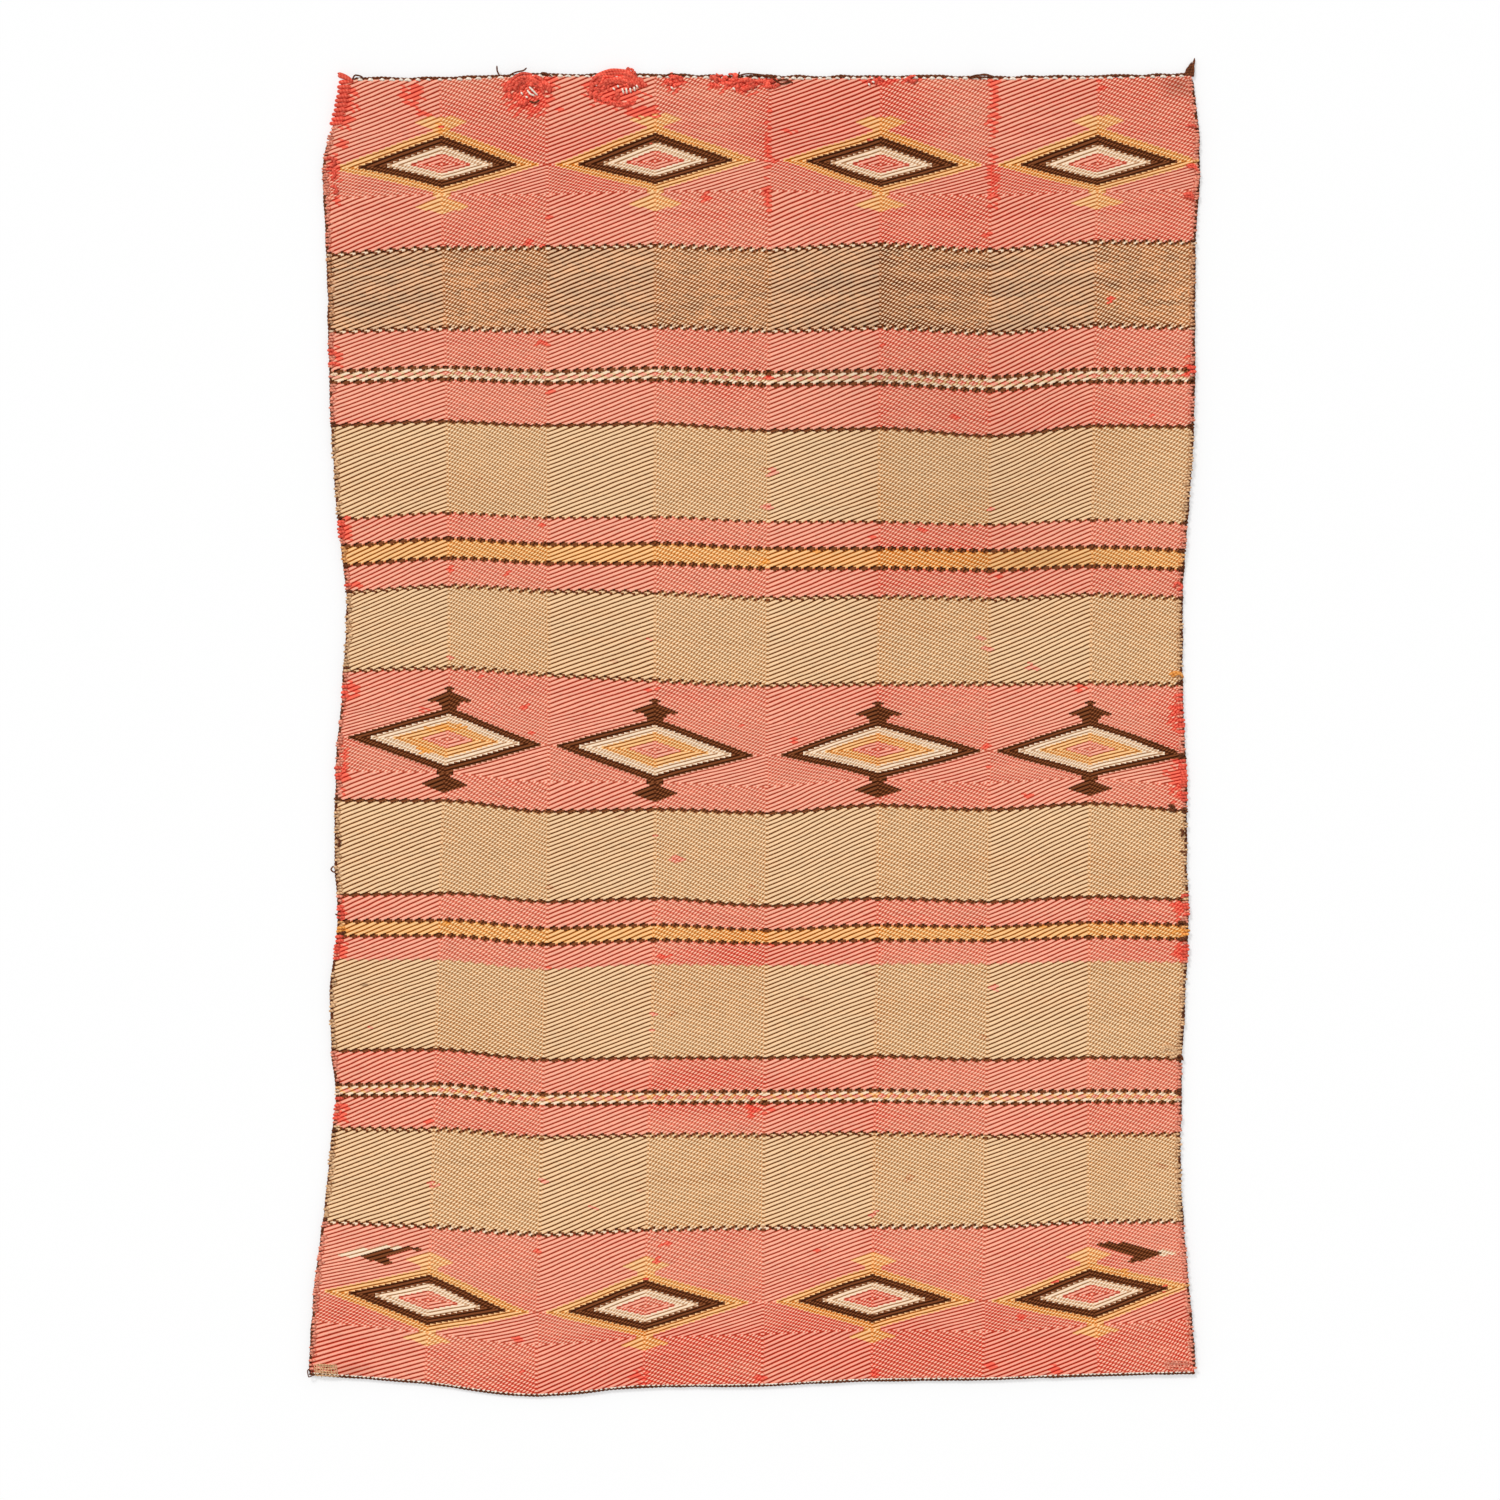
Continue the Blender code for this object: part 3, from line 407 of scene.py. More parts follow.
# Bits of brighter yarn, most of them where the twill turns
strayBits = {
    "seed": 5,
    "count": 110,
    "turns": (2, 4, 6, 6, 4, 1, 3, 5),  # the likelier ones are named twice
    "offTurn": 2,  # warps
    "anywhere": 0.45,  # share of them that lies elsewhere
    "fromEnds": 10,  # picks
    "fromSides": 3,  # warps
    "across": (4, 9),  # reach in pixels
    "down": (2.5, 5),
    "brighter": {"coral": "red", "gold": "orange", "tan": "heather"},
}


def scatterSpots():
    rng = np.random.default_rng(strayBits["seed"])
    ends, sides = strayBits["fromEnds"], strayBits["fromSides"]
    found = []
    for _ in range(strayBits["count"]):
        turn = int(rng.choice(strayBits["turns"]))
        row = int(rng.integers(ends, pickCount - ends))
        warp = columns[turn] + int(rng.normal(0, strayBits["offTurn"]))
        if rng.random() < strayBits["anywhere"]:
            warp = int(rng.integers(sides, warpCount - sides))
        kind = strayBits["brighter"].get(pickYarns[row])
        if kind == "heather" and rng.random() < 0.5:
            kind = "coral"
        place = (gridX[row, warp] / photo["mmPerPixel"] + photo["middle"][0],
                 photo["middle"][1] - gridY[row, warp] / photo["mmPerPixel"])
        if kind:
            found.append((kind, place, (rng.uniform(*strayBits["across"]),
                                        rng.uniform(*strayBits["down"]))))
    return tuple(found)


spots = scatterSpots()

# Deeper dye where the sun and the saddle wore it less, or paler below 0: pixel, reach and depth
deepPatches = (
    ((720, 1093), (150, 38), 0.7), ((620, 1385), (190, 22), 0.5), ((1000, 1360), (170, 30), 0.4),
    ((840, 120), (120, 60), 0.85), ((780, 948), (110, 28), 0.75), ((770, 1290), (200, 40), 0.15),
    ((1030, 100), (60, 40), 0.25), ((960, 430), (190, 240), 0.3), ((995, 1340), (14, 40), 0.6),
    ((480, 1260), (130, 40), -0.7), ((1170, 1260), (60, 40), -0.5), ((1000, 1365), (90, 24), 0.35),
    ((840, 1345), (120, 45), 0.7), ((500, 120), (70, 50), 0.2), ((1000, 200), (90, 50), 0.3),
    ((595, 160), (50, 60), 0.3), ((350, 1330), (30, 60), 0.25), ((1180, 1330), (20, 50), 0.35),
    ((640, 1345), (120, 40), 0.35), ((345, 740), (22, 60), 0.45), ((1168, 745), (24, 70), 0.45),
    ((640, 760), (60, 50), 0.2), ((930, 1330), (180, 50), 0.35),
    ((925, 556), (75, 18), 0.9), ((811, 556), (60, 16), 0.6), ((700, 1066), (60, 16), 0.6),
    ((1060, 292), (180, 44), -0.3), ((380, 292), (80, 44), 0.35),
)
# Soil and spots: pixel, reach and how dark
stains = (
    ((550, 260), (4, 3), 0.6), ((430, 265), (5, 3), 0.5), ((365, 985), (6, 3), 0.7),
    ((681, 855), (4, 3), 0.5), ((352, 1370), (26, 10), 0.25),
    ((1178, 86), (24, 16), 0.4), ((960, 440), (190, 220), 0.1), ((1045, 560), (110, 16), 0.2),
    ((880, 378), (110, 14), 0.18),
)


def reachOf(x, y, place, reach):
    # 1 in the middle of a patch, 0 at its edge and beyond
    middleX, middleY = fromPhoto(*place)
    scale = photo["mmPerPixel"]
    far = np.hypot((x - middleX) / (reach[0] * scale), (y - middleY) / (reach[1] * scale))
    return np.clip(1 - far, 0, 1)


yarnNames = ("coral", "tan", "heather", "gold", "cream", "dark", "red", "orange", "straw")
yarnNumber = {name: number for number, name in enumerate(yarnNames)}
ownerNames = [band[0] for band in bands]
ownerNames += sorted(set(pickOwners) - set(ownerNames))
ownerNames += [f"{row}_{place}" for row in diamondRows for place in (1, 2, 3, 4)]
ownerNames += ["unfinished_point_left", "unfinished_point_right"]
ownerNumber = {name: number for number, name in enumerate(ownerNames)}


def placeDiamonds(pick, warp, yarn, owner):
    # the loops and stars of every diamond, written over the band's own yarn
    cells = np.arange(warpCount)[None, :] + 0.5
    for name, row in diamondRows.items():
        down = pick - row["pick"]
        steps = np.arange(pickCount)[:, None] - row["pick"]
        paired = np.abs(2 * (steps // 2) + 1)  # two picks lock round the same warp: small teeth
        for place, turn in enumerate(diamondTurns, 1):
            across = np.abs(warp - columns[turn])
            along = np.abs(cells - columns[turn])
            onStar = np.zeros(pick.shape, bool)
            for (away, shapes), side in zip(row["stars"], (-1, 1)):
                out = side * (down + 0.5)
                for wide, high in shapes:
                    onStar |= across / wide + np.abs(out - away) / high < 1
                neck = (out > starNeck["picks"]) & (out < away)
                onStar |= (across < starNeck["warps"]) & neck
            yarn[onStar] = yarnNumber[row["star"]]
            for loopYarn, ends in row["loops"]:
                yarn[along + paired <= ends] = yarnNumber[loopYarn]
            whole = onStar | (along + paired <= row["loops"][0][1])
            if name == "centre_diamond" and place == longPoint["diamond"]:
                tail = warp - columns[turn] > longPoint["warps"]
                tail &= np.abs(down - longPoint["pick"]) < longPoint["halfHigh"]
                yarn[tail] = yarnNumber["dark"]
                whole |= tail
            owner[whole] = ownerNumber[f"{name}_{place}"]


# The two unfinished points above the bottom row: outlines in pixels, cream first
unfinished = {
    "unfinished_point_left": (
        ("cream", ((338, 1256), (352, 1250), (390, 1245.5), (404, 1246), (372, 1253), (356, 1258))),
        ("dark", ((359, 1255), (378, 1250.5), (420, 1245.5), (419, 1249), (384, 1256),
                  (392, 1262.5), (388, 1264.5), (368, 1259.5))),
    ),
    "unfinished_point_right": (
        ("cream", ((1179, 1253), (1165, 1249.5), (1150, 1250), (1150, 1254), (1165, 1256))),
        ("dark", ((1160, 1252.5), (1144, 1246), (1122, 1243), (1099, 1241.5), (1099, 1245),
                  (1114, 1249), (1130, 1253.5), (1138, 1257), (1127, 1259), (1130, 1262.5),
                  (1144, 1259.5), (1157, 1255))),
    ),
}


def inOutline(x, y, outline):
    # which places lie inside an outline given in pixels
    inside = np.zeros(x.shape, bool)
    points = [fromPhoto(*point) for point in outline]
    for (ax, ay), (bx, by) in zip(points, points[1:] + points[:1]):
        if ay != by:
            cross = ax + (bx - ax) * (y - ay) / (by - ay)
            inside ^= ((ay > y) != (by > y)) & (x < cross)
    return inside


# Tone of the yarn and depth of its dye, with layers as in unevenness, their seeds counted from
# the face's own
dyeing = {
    "ragged": 0.8,  # how broken the edge of a patch of other yarn is
    "toneThrow": 0.38,  # how much one throw of yarn differs from the next
    "tone": ((0.35, (2.3, 60), 1), (0.25, (9, 9), 2)),
    "toneDown": (-0.2, 0.45),  # from top to bottom: the lower half is paler
    "toneLimits": (-2.5, 2),
    "depthThrow": 0.12,
    "depthBase": 0.1,
    "depth": ((0.3, (5, 120), 3), (0.3, (70, 45), 4)),
    # the end bands faded less: from, to, and the depth added at both
    "endBands": ((0, seams[1], 0.35, 0.35), (seams[20], cloth["length"], -0.05, 0.55)),
    "changedWefts": {"turn": 5, "depth": 0.35, "warps": 5.0},
    # the brown and light flecks of the heather yarn
    "heatherDepth": 0.3,
    "fleckThrow": 0.8,
    "fleckBase": 0.1,
    "flecks": ((2.6, (1.2, 6), 5), (1.6, (5, 9), 6)),
}


def dyeOfWeft(size, rng, seed):
    # tone and depth of dye for each pick at each warp
    tone = rng.normal(0, dyeing["toneThrow"], size)
    tone += hills(size, dyeing["tone"], seed)
    tone += np.linspace(*dyeing["toneDown"], size[0])[:, None]
    depth = hills(size, dyeing["depth"], seed, dyeing["depthBase"])
    for start, finish, first, last in dyeing["endBands"]:
        level = (pickEdges[:-1] - start) / (finish - start)
        inside = (level >= 0) & (level < 1)
        depth[:pickCount][inside] += (first + (last - first) * level[inside])[:, None]
    heather = np.array([name == "heather" for name in pickYarns])
    depth[:pickCount][heather] += dyeing["heatherDepth"]
    changed = dyeing["changedWefts"]
    away = (np.arange(size[1]) - columns[changed["turn"]]) / changed["warps"]
    depth += changed["depth"] * np.exp(-away ** 2)
    depth += dyeing["depthThrow"] * rng.normal(0, 1, size)
    flecks = hills(size, dyeing["flecks"], seed)
    flecks += rng.normal(0, dyeing["fleckThrow"], size) + dyeing["fleckBase"]
    tone[:pickCount][heather] += flecks[:pickCount][heather]
    return tone, depth


def dressFloats(extra, seed):
    # yarn, owner and thread values (tone, depth of dye, stain) of each cell of one face
    pick, middle = visibleFloats(extra)
    x = (gridX[pick, middle] + gridX[pick + 1, middle]) / 2
    y = (gridY[pick, middle] + gridY[pick + 1, middle]) / 2
    yarn = np.array([yarnNumber[name] for name in pickYarns])[pick]
    owner = np.array([ownerNumber[name] for name in pickOwners])[pick]
    placeDiamonds(pick, middle, yarn, owner)
    for node, shapes in unfinished.items():
        for name, outline in shapes:
            inside = inOutline(x, y, outline)
            yarn[inside] = yarnNumber[name]
            owner[inside] = ownerNumber[node]
    size = (pickCount + 2, warpCount + 2)
    rng = np.random.default_rng(seed)
    ragged = dyeing["ragged"] * rng.random(size)[pick, middle]
    for name, place, reach in yarnPatches + spots:
        swap = (reachOf(x, y, place, reach) > ragged) & (yarn != yarnNumber["dark"])
        yarn[swap] = yarnNumber[name]
    tone, depth = (values[pick, middle] for values in dyeOfWeft(size, rng, seed))
    for place, reach, amount in deepPatches:
        depth = depth + amount * np.minimum(2 * reachOf(x, y, place, reach), 1)
    stain = np.zeros_like(depth)
    for place, reach, amount in stains:
        stain = stain + amount * reachOf(x, y, place, reach)
    tone = np.clip(tone, *dyeing["toneLimits"])
    return yarn, owner, np.stack([tone, np.clip(depth, 0, 1), stain], axis=-1)


# Materials: an sRGB colour as it is listed, turned to linear
def colour(code):
    values = [int(code[i:i + 2], 16) / 255 for i in (0, 2, 4)]
    linear = [v / 12.92 if v <= 0.04045 else ((v + 0.055) / 1.055) ** 2.4 for v in values]
    return (*linear, 1.0)


def addNode(tree, kind, inputs=None, **settings):
    # an input is a plain value, a socket, or a node, which gives its first output
    node = tree.nodes.new("ShaderNode" + kind)
    for key, value in settings.items():
        setattr(node, key, value)
    for key, value in (inputs or {}).items():
        source = value.outputs[0] if isinstance(value, bpy.types.Node) else value
        if isinstance(source, bpy.types.NodeSocket):
            tree.links.new(source, node.inputs[key])
        else:
            node.inputs[key].default_value = source
    return node


def startMaterial(name, finish):
    material = bpy.data.materials.new(name)
    material.use_nodes = True
    shader = material.node_tree.nodes["Principled BSDF"]
    for key, value in finish.items():
        shader.inputs[key].default_value = value
    return material, material.node_tree, shader


# Handspun wool weft, woven: the body is what a float shows, deep the dye that is left where it
# faded least, light the painted highlight of a float's sunlit crown and furrow the painted shade
# between two twill ribs
wools = {
    "coral": {"body": "EE8568", "deep": "E4543E", "light": "FFCCB2", "furrow": "8A2006"},
    "tan": {"body": "E5AA73", "deep": "DC9558", "light": "FFE9C2", "furrow": "3E1600"},
    "heather": {"body": "D68850", "deep": "8E4818", "light": "FFE2BC", "furrow": "2E0C00"},
    "gold": {"body": "F29E50", "deep": "F0862A", "light": "FFE2AA", "furrow": "6E3402"},
    "cream": {"body": "F0C79F", "deep": "E9B88C", "light": "FFF2DA", "furrow": "8E5A38"},
    "dark": {"body": "5A2A10", "deep": "4A1F08", "light": "925632", "furrow": "260C01"},
    "red": {"body": "F55440", "deep": "EA4032", "light": "FF8A70", "furrow": "941A0E"},
    "orange": {"body": "F69A38", "deep": "EE842C", "light": "FFC880", "furrow": "9A4E14"},
    "straw": {"body": "F6A968", "deep": "EE8E3C", "light": "FFE2AC", "furrow": "965220"},
    "warp": {"body": "F2E6D6", "deep": "E6D6C2", "light": "FFF8EC", "furrow": "B9A48C"},
}
weftFinish = {
    "shader": {"Roughness": 0.93, "Specular IOR Level": 0.08},
    "furrow": {"sharp": 5.0, "deep": -0.9, "level": 0.81},
    # the cross strokes: their level, and the shares of waves by stroke, by rib and by both
    "strokeLevel": 0.52,
    "strokeWaves": (-0.33, -0.2, 0.22),
    # fibres lie at the slant of the spinning, drawn coarse enough to show: 5 mm by 0.7 mm
    "fibreSlant": -40,  # degrees
    "fibresPerMetre": (200, 1400, 600),  # along, across and through the yarn
    "fibreTone": (0.9, 1.1),
    "fibreRelief": 0.35,
    "cloudsPerMetre": 14.0,  # 70 mm, about as far as one spun length of yarn reaches down
    "clouds": 0.7,  # how much the dye changes from cloud to cloud
    "tone": 0.13,
    "soil": "5A3A28",
    "bump": 0.5,
    "bumpDepth": 0.4,  # mm
}
pliedFinish = {
    "shader": {"Roughness": 0.92, "Specular IOR Level": 0.2, "Sheen Weight": 0.03},
    "fibresPerMetre": 900.0,  # 1.1 mm, coarser than the real fibre so that it shows
    "twistShade": 0.18,
    "evened": 0.55,  # how far the shaded twist is brought back to the yarn's own colour
    "tone": 0.2,
    "bump": 0.6,
    "bumpDepth": 0.25,  # mm
}


def wovenWool(name, dyeAndPaintedLight):
    # worsted-soft sheep's wool in twill: dead matt, lit softly by the fibres that stand up
    finish = weftFinish
    material, tree, shader = startMaterial(name + "WoolWeft", finish["shader"])
    weave = addNode(tree, "Attribute", attribute_name="weave")
    thread = addNode(tree, "Attribute", attribute_name="thread")
    rib, stroke, crossed = addNode(tree, "SeparateXYZ", {0: weave.outputs["Vector"]}).outputs
    tone, dyed, stained = addNode(tree, "SeparateXYZ", {0: thread.outputs["Vector"]}).outputs

    def ripple(phase, halfTurns):
        turned = addNode(tree, "Math", {0: phase, 1: halfTurns * math.pi}, operation="MULTIPLY")
        return addNode(tree, "Math", {0: turned}, operation="COSINE")

    # the rib's furrow, and where ribs lean back the short strokes that cross them
    furrow = addNode(tree, "Math", {0: ripple(rib, 1)}, operation="ABSOLUTE")
    furrow = addNode(tree, "Math", {0: furrow, 1: finish["furrow"]["sharp"]}, operation="POWER")
    smooth = addNode(tree, "Math", {0: furrow, 1: finish["furrow"]["deep"],
                     2: finish["furrow"]["level"]}, operation="MULTIPLY_ADD")
    both = addNode(tree, "Math", {0: rib, 1: stroke}, operation="ADD")
    strokes = finish["strokeLevel"]
    for phase, share in zip((stroke, rib, both), finish["strokeWaves"]):
        strokes = addNode(tree, "Math", {0: ripple(phase, 2), 1: share, 2: strokes},
                          operation="MULTIPLY_ADD")
    height = addNode(tree, "Mix", {0: crossed, 2: smooth, 3: strokes})

    place = addNode(tree, "TexCoord").outputs["Object"]
    slant = addNode(tree, "Mapping", {"Vector": place, "Scale": finish["fibresPerMetre"],
                    "Rotation": (0, 0, math.radians(finish["fibreSlant"]))})
    fibre = addNode(tree, "TexNoise", {"Vector": slant, "Scale": 1.0, "Detail": 2.0})
    cloud = addNode(tree, "TexNoise", {"Vector": place, "Scale": finish["cloudsPerMetre"],
                    "Detail": 3.0})

    # the dye's depth, with clouds that take away as much as they add
    depth = addNode(tree, "Math", {0: cloud, 1: finish["clouds"], 2: dyed},
                    operation="MULTIPLY_ADD")
    depth = addNode(tree, "Math", {0: depth, 1: finish["clouds"] / 2}, operation="SUBTRACT",
                    use_clamp=True)
    own = addNode(tree, "Mix", {0: depth, 6: colour(dyeAndPaintedLight["body"]), 7: colour(dyeAndPaintedLight["deep"])},
                  data_type="RGBA").outputs[2]
    level = addNode(tree, "Math", {0: tone, 1: finish["tone"], 2: 1.0}, operation="MULTIPLY_ADD")
    fibreTone = addNode(tree, "MapRange", {0: fibre, 1: 0.3, 2: 0.7, 3: finish["fibreTone"][0],
                        4: finish["fibreTone"][1]})
    level = addNode(tree, "Math", {0: level, 1: fibreTone}, operation="MULTIPLY")
    toned = addNode(tree, "HueSaturation", {"Value": level, "Color": own}).outputs[0]

    # from the furrow's painted shade through the yarn's own colour to a painted highlight on the
    # crown that catches the light
    flank = addNode(tree, "Math", {0: height, 1: 2.0}, operation="MULTIPLY", use_clamp=True)
    shaded = addNode(tree, "Mix", {0: flank, 6: colour(dyeAndPaintedLight["furrow"]), 7: toned},
                     data_type="RGBA").outputs[2]
    crown = addNode(tree, "Math", {0: height, 1: 2.0, 2: -1.0}, operation="MULTIPLY_ADD",
                    use_clamp=True)
    crowned = addNode(tree, "Mix", {0: crown, 6: shaded, 7: colour(dyeAndPaintedLight["light"])},
                      data_type="RGBA").outputs[2]
    soiled = addNode(tree, "Mix", {0: stained, 6: crowned, 7: colour(finish["soil"])},
                     data_type="RGBA").outputs[2]
    tree.links.new(soiled, shader.inputs["Base Color"])

    raised = addNode(tree, "Math", {0: fibre, 1: finish["fibreRelief"], 2: height},
                     operation="MULTIPLY_ADD")
    bump = addNode(tree, "Bump", {"Height": raised, "Strength": finish["bump"],
                   "Distance": finish["bumpDepth"] * mm})
    tree.links.new(bump.outputs[0], shader.inputs["Normal"])
    return material


def twistedWool(name, dyeAndPaintedLight):
    # plied wool cord: two strands that turn about each other, matt, with a faint slant of fibre
    finish = pliedFinish
    material, tree, shader = startMaterial(name + "PliedWool", finish["shader"])
    strand = addNode(tree, "Attribute", attribute_name="strand")
    along, around, tone = addNode(tree, "SeparateXYZ", {0: strand.outputs["Vector"]}).outputs
    spin = addNode(tree, "Math", {0: along, 1: around}, operation="ADD")
    turned = addNode(tree, "Math", {0: spin, 1: 2 * math.pi}, operation="MULTIPLY")
    wave = addNode(tree, "Math", {0: turned}, operation="SINE")
    place = addNode(tree, "TexCoord").outputs["Object"]
    fibre = addNode(tree, "TexNoise", {"Vector": place, "Scale": finish["fibresPerMetre"],
                    "Detail": 3.0})
    mixed = addNode(tree, "Math", {0: wave, 1: finish["twistShade"], 2: fibre},
                    operation="MULTIPLY_ADD")
    ramp = addNode(tree, "MapRange", {0: mixed, 1: 0.25, 2: 0.8})
    # random fibre tone, and the twist painted in shade and highlight, from the furrow colour to the
    # light colour
    shaded = addNode(tree, "Mix", {0: ramp, 6: colour(dyeAndPaintedLight["furrow"]), 7: colour(dyeAndPaintedLight["light"])},
                     data_type="RGBA").outputs[2]
    own = addNode(tree, "Mix", {0: finish["evened"], 6: shaded, 7: colour(dyeAndPaintedLight["body"])},
                  data_type="RGBA").outputs[2]
    level = addNode(tree, "Math", {0: tone, 1: finish["tone"], 2: 1.0}, operation="MULTIPLY_ADD")
    toned = addNode(tree, "HueSaturation", {"Value": level, "Color": own}).outputs[0]
    tree.links.new(toned, shader.inputs["Base Color"])
    bump = addNode(tree, "Bump", {"Height": mixed, "Strength": finish["bump"],
                   "Distance": finish["bumpDepth"] * mm})
    tree.links.new(bump.outputs[0], shader.inputs["Normal"])
    return material


woven = {name: wovenWool(name, wools[name]) for name in yarnNames}
plied = {name: twistedWool(name, dyeAndPaintedLight) for name, dyeAndPaintedLight in wools.items()}
print("wools", len(woven), "woven and", len(plied), "plied")


# Meshes
def makeMesh(name, points, faces, materials, materialOf=None):
    # points in millimetres on the sheet, and faces of four corners
    mesh = bpy.data.meshes.new(name)
    points = np.array(points, float)
    points[:, 0] += cloth["middle"][0]
    points[:, 1] += cloth["middle"][1]
    mesh.vertices.add(len(points))
    mesh.vertices.foreach_set("co", (points * mm).astype(np.float32).ravel())
    mesh.loops.add(faces.size)
    mesh.loops.foreach_set("vertex_index", faces.astype(np.int32).ravel())
    mesh.polygons.add(len(faces))
    mesh.polygons.foreach_set("loop_start", np.arange(len(faces), dtype=np.int32) * 4)
    for material in materials:
        mesh.materials.append(material)
    if materialOf is not None:
        mesh.polygons.foreach_set("material_index", materialOf.astype(np.int32))
    mesh.update(calc_edges=True)
    mesh.shade_smooth()
    piece = bpy.data.objects.new(name, mesh)
    bpy.context.scene.collection.objects.link(piece)
    return piece


def addValues(piece, name, domain, values):
    layer = piece.data.attributes.new(name, "FLOAT_VECTOR", domain)
    layer.data.foreach_set("vector", values.astype(np.float32).ravel())


skinSize = (pickCount + 1) * (warpCount + 1)
rowSize = warpCount + 1
skinPoints = np.concatenate([
    np.stack([gridX.ravel(), gridY.ravel(), z.ravel()], axis=1) for z in (topZ, underZ, middleZ)
])
strokeLean = 3  # steps of the rib that a cross stroke passes at each warp
ribPhase = (warpPhase[None, :] + pickPhase[:, None]).astype(float)
strokePhase = (pickPhase[:, None] - strokeLean * warpPhase[None, :]).astype(float)
slashOfCell = (1 - warpStep[None, :] * pickStep[:, None]) / 2
padded = np.pad(slashOfCell, 1, mode="edge")
slashOfPoint = (padded[:-1, :-1] + padded[1:, :-1] + padded[:-1, 1:] + padded[1:, 1:]) / 4
weaveOfPoint = np.concatenate([
    np.stack([(ribPhase + shift).ravel() / ribRepeat,
              (strokePhase + shift + 0.5).ravel() / ribRepeat,
              slashOfPoint.ravel()], axis=1) for shift in (0, crest, 0)
])


def cellFaces(rows, warps, face):
    # one quad for each cell, split along the rib, as corner steps down and across
    leans = warpStep[warps] * pickStep[rows] > 0
    down = np.where(leans[:, None], (1, 1, 0, 0), (0, 1, 1, 0))
    across = np.where(leans[:, None], (0, 1, 1, 0), (0, 0, 1, 1))
    if face == 1:
        down, across = down[:, ::-1], across[:, ::-1]
    return down, across


# A cell's four neighbours, each with the two corners of the side between
sides = (
    ((-1, 0), (0, 0), (0, 1)), ((1, 0), (1, 1), (1, 0)),
    ((0, -1), (1, 0), (0, 0)), ((0, 1), (0, 1), (1, 1)),
)
# The map for the bake: strips of both faces, and above them the walls that close the edges
bakeMap = {
    "margin": 0.01,
    "across": 0.98,
    "faces": 0.93,  # height of all the strips
    "strip": 0.94,  # how much of its own height a strip fills
    "walls": (0.955, 0.04),  # where the walls start, and their height
    "wall": 0.8,  # how much of its own place a wall fills
    "wallsInRow": 20,  # times as many as there are rows
}


def weavePiece(node, tops, unders):
    # one CAD node's weft as a skin on both faces, closed at its edges through the cloth
    corners, uvs, yarnOf, threadOf, walls = [], [], [], [], []
    window = tops | unders
    rowsUsed = np.nonzero(window.any(axis=1))[0]
    warpsUsed = np.nonzero(window.any(axis=0))[0]
    firstRow, firstWarp = rowsUsed[0], warpsUsed[0]
    high, wide = rowsUsed[-1] - firstRow + 1, warpsUsed[-1] - firstWarp + 1
    strips = max(1, round(math.sqrt(wide * cloth["warp"] / (2 * high * cloth["pick"]))))
    stripWide = math.ceil(wide / strips)
    for face, mask in enumerate((tops, unders)):
        rows, warps = np.nonzero(mask)
        down, across = cellFaces(rows, warps, face)
        cornerRow, cornerWarp = rows[:, None] + down, warps[:, None] + across
        corners.append(face * skinSize + cornerRow * rowSize + cornerWarp)
        strip = (warps - firstWarp) // stripWide
        u = (cornerWarp - firstWarp - (strip * stripWide)[:, None]) / stripWide
        v = (cornerRow - firstRow) / high * bakeMap["strip"] + (strip + face * strips)[:, None]
        uvs.append(np.stack([bakeMap["margin"] + bakeMap["across"] * u,
                             bakeMap["margin"] + bakeMap["faces"] * v / (2 * strips)], axis=-1))
        yarn, _, thread = fields[face]
        yarnOf.append(yarn[rows, warps])
        threadOf.append(thread[rows, warps])
        edged = np.pad(mask, 1)
        upper, lower = (0, 2) if face == 0 else (2, 1)  # skins: top, under and hidden middle
        for (stepRow, stepWarp), one, other in sides:
            beside = edged[1 + stepRow:, 1 + stepWarp:][:pickCount, :warpCount]
            rows, warps = np.nonzero(mask & ~beside)
            a = (rows + one[0]) * rowSize + warps + one[1]
            b = (rows + other[0]) * rowSize + warps + other[1]
            quad = np.stack([a + upper * skinSize, b + upper * skinSize,
                             b + lower * skinSize, a + lower * skinSize], axis=1)
            walls.append((quad, yarn[rows, warps], thread[rows, warps]))
    # where only one face belongs to this piece, the hidden middle closes it
    for mask, face in ((tops & ~unders, 1), (unders & ~tops, 0)):
        rows, warps = np.nonzero(mask)
        down, across = cellFaces(rows, warps, face)
        quad = 2 * skinSize + (rows[:, None] + down) * rowSize + warps[:, None] + across
        walls.append((quad, fields[1 - face][0][rows, warps], fields[1 - face][2][rows, warps]))
    count = sum(len(quad) for quad, _, _ in walls)
    perRow = max(1, math.ceil(math.sqrt(count * bakeMap["wallsInRow"])))
    deep = max(1, math.ceil(count / perRow))
    index = np.arange(count)[:, None]
    fill, (start, tall) = bakeMap["wall"], bakeMap["walls"]
    u = bakeMap["margin"] + bakeMap["across"] * (index % perRow + (0, fill, fill, 0)) / perRow
    v = start + tall * (index // perRow + (0, 0, fill, fill)) / deep
    uvs.append(np.stack([u, v], axis=-1))
    for quad, yarn, thread in walls:
        corners.append(quad)
        yarnOf.append(yarn)
        threadOf.append(thread)
    corners = np.concatenate(corners)
    used, faces = np.unique(corners, return_inverse=True)
    yarnOf = np.concatenate(yarnOf)
    kinds, materialOf = np.unique(yarnOf, return_inverse=True)
    piece = makeMesh("woven_" + node, skinPoints[used], faces.reshape(corners.shape),
                     [woven[yarnNames[kind]] for kind in kinds], materialOf)
    addValues(piece, "weave", "POINT", weaveOfPoint[used])
    addValues(piece, "thread", "FACE", np.concatenate(threadOf))
    bake = piece.data.uv_layers.new(name="OFBake")
    bake.uv.foreach_set("vector", np.concatenate(uvs).astype(np.float32).ravel())
    piece.data.set_sharp_from_angle(angle=math.radians(60))
    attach(piece, "root")
    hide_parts(node)
    main = np.bincount(yarnOf).argmax()
    return piece


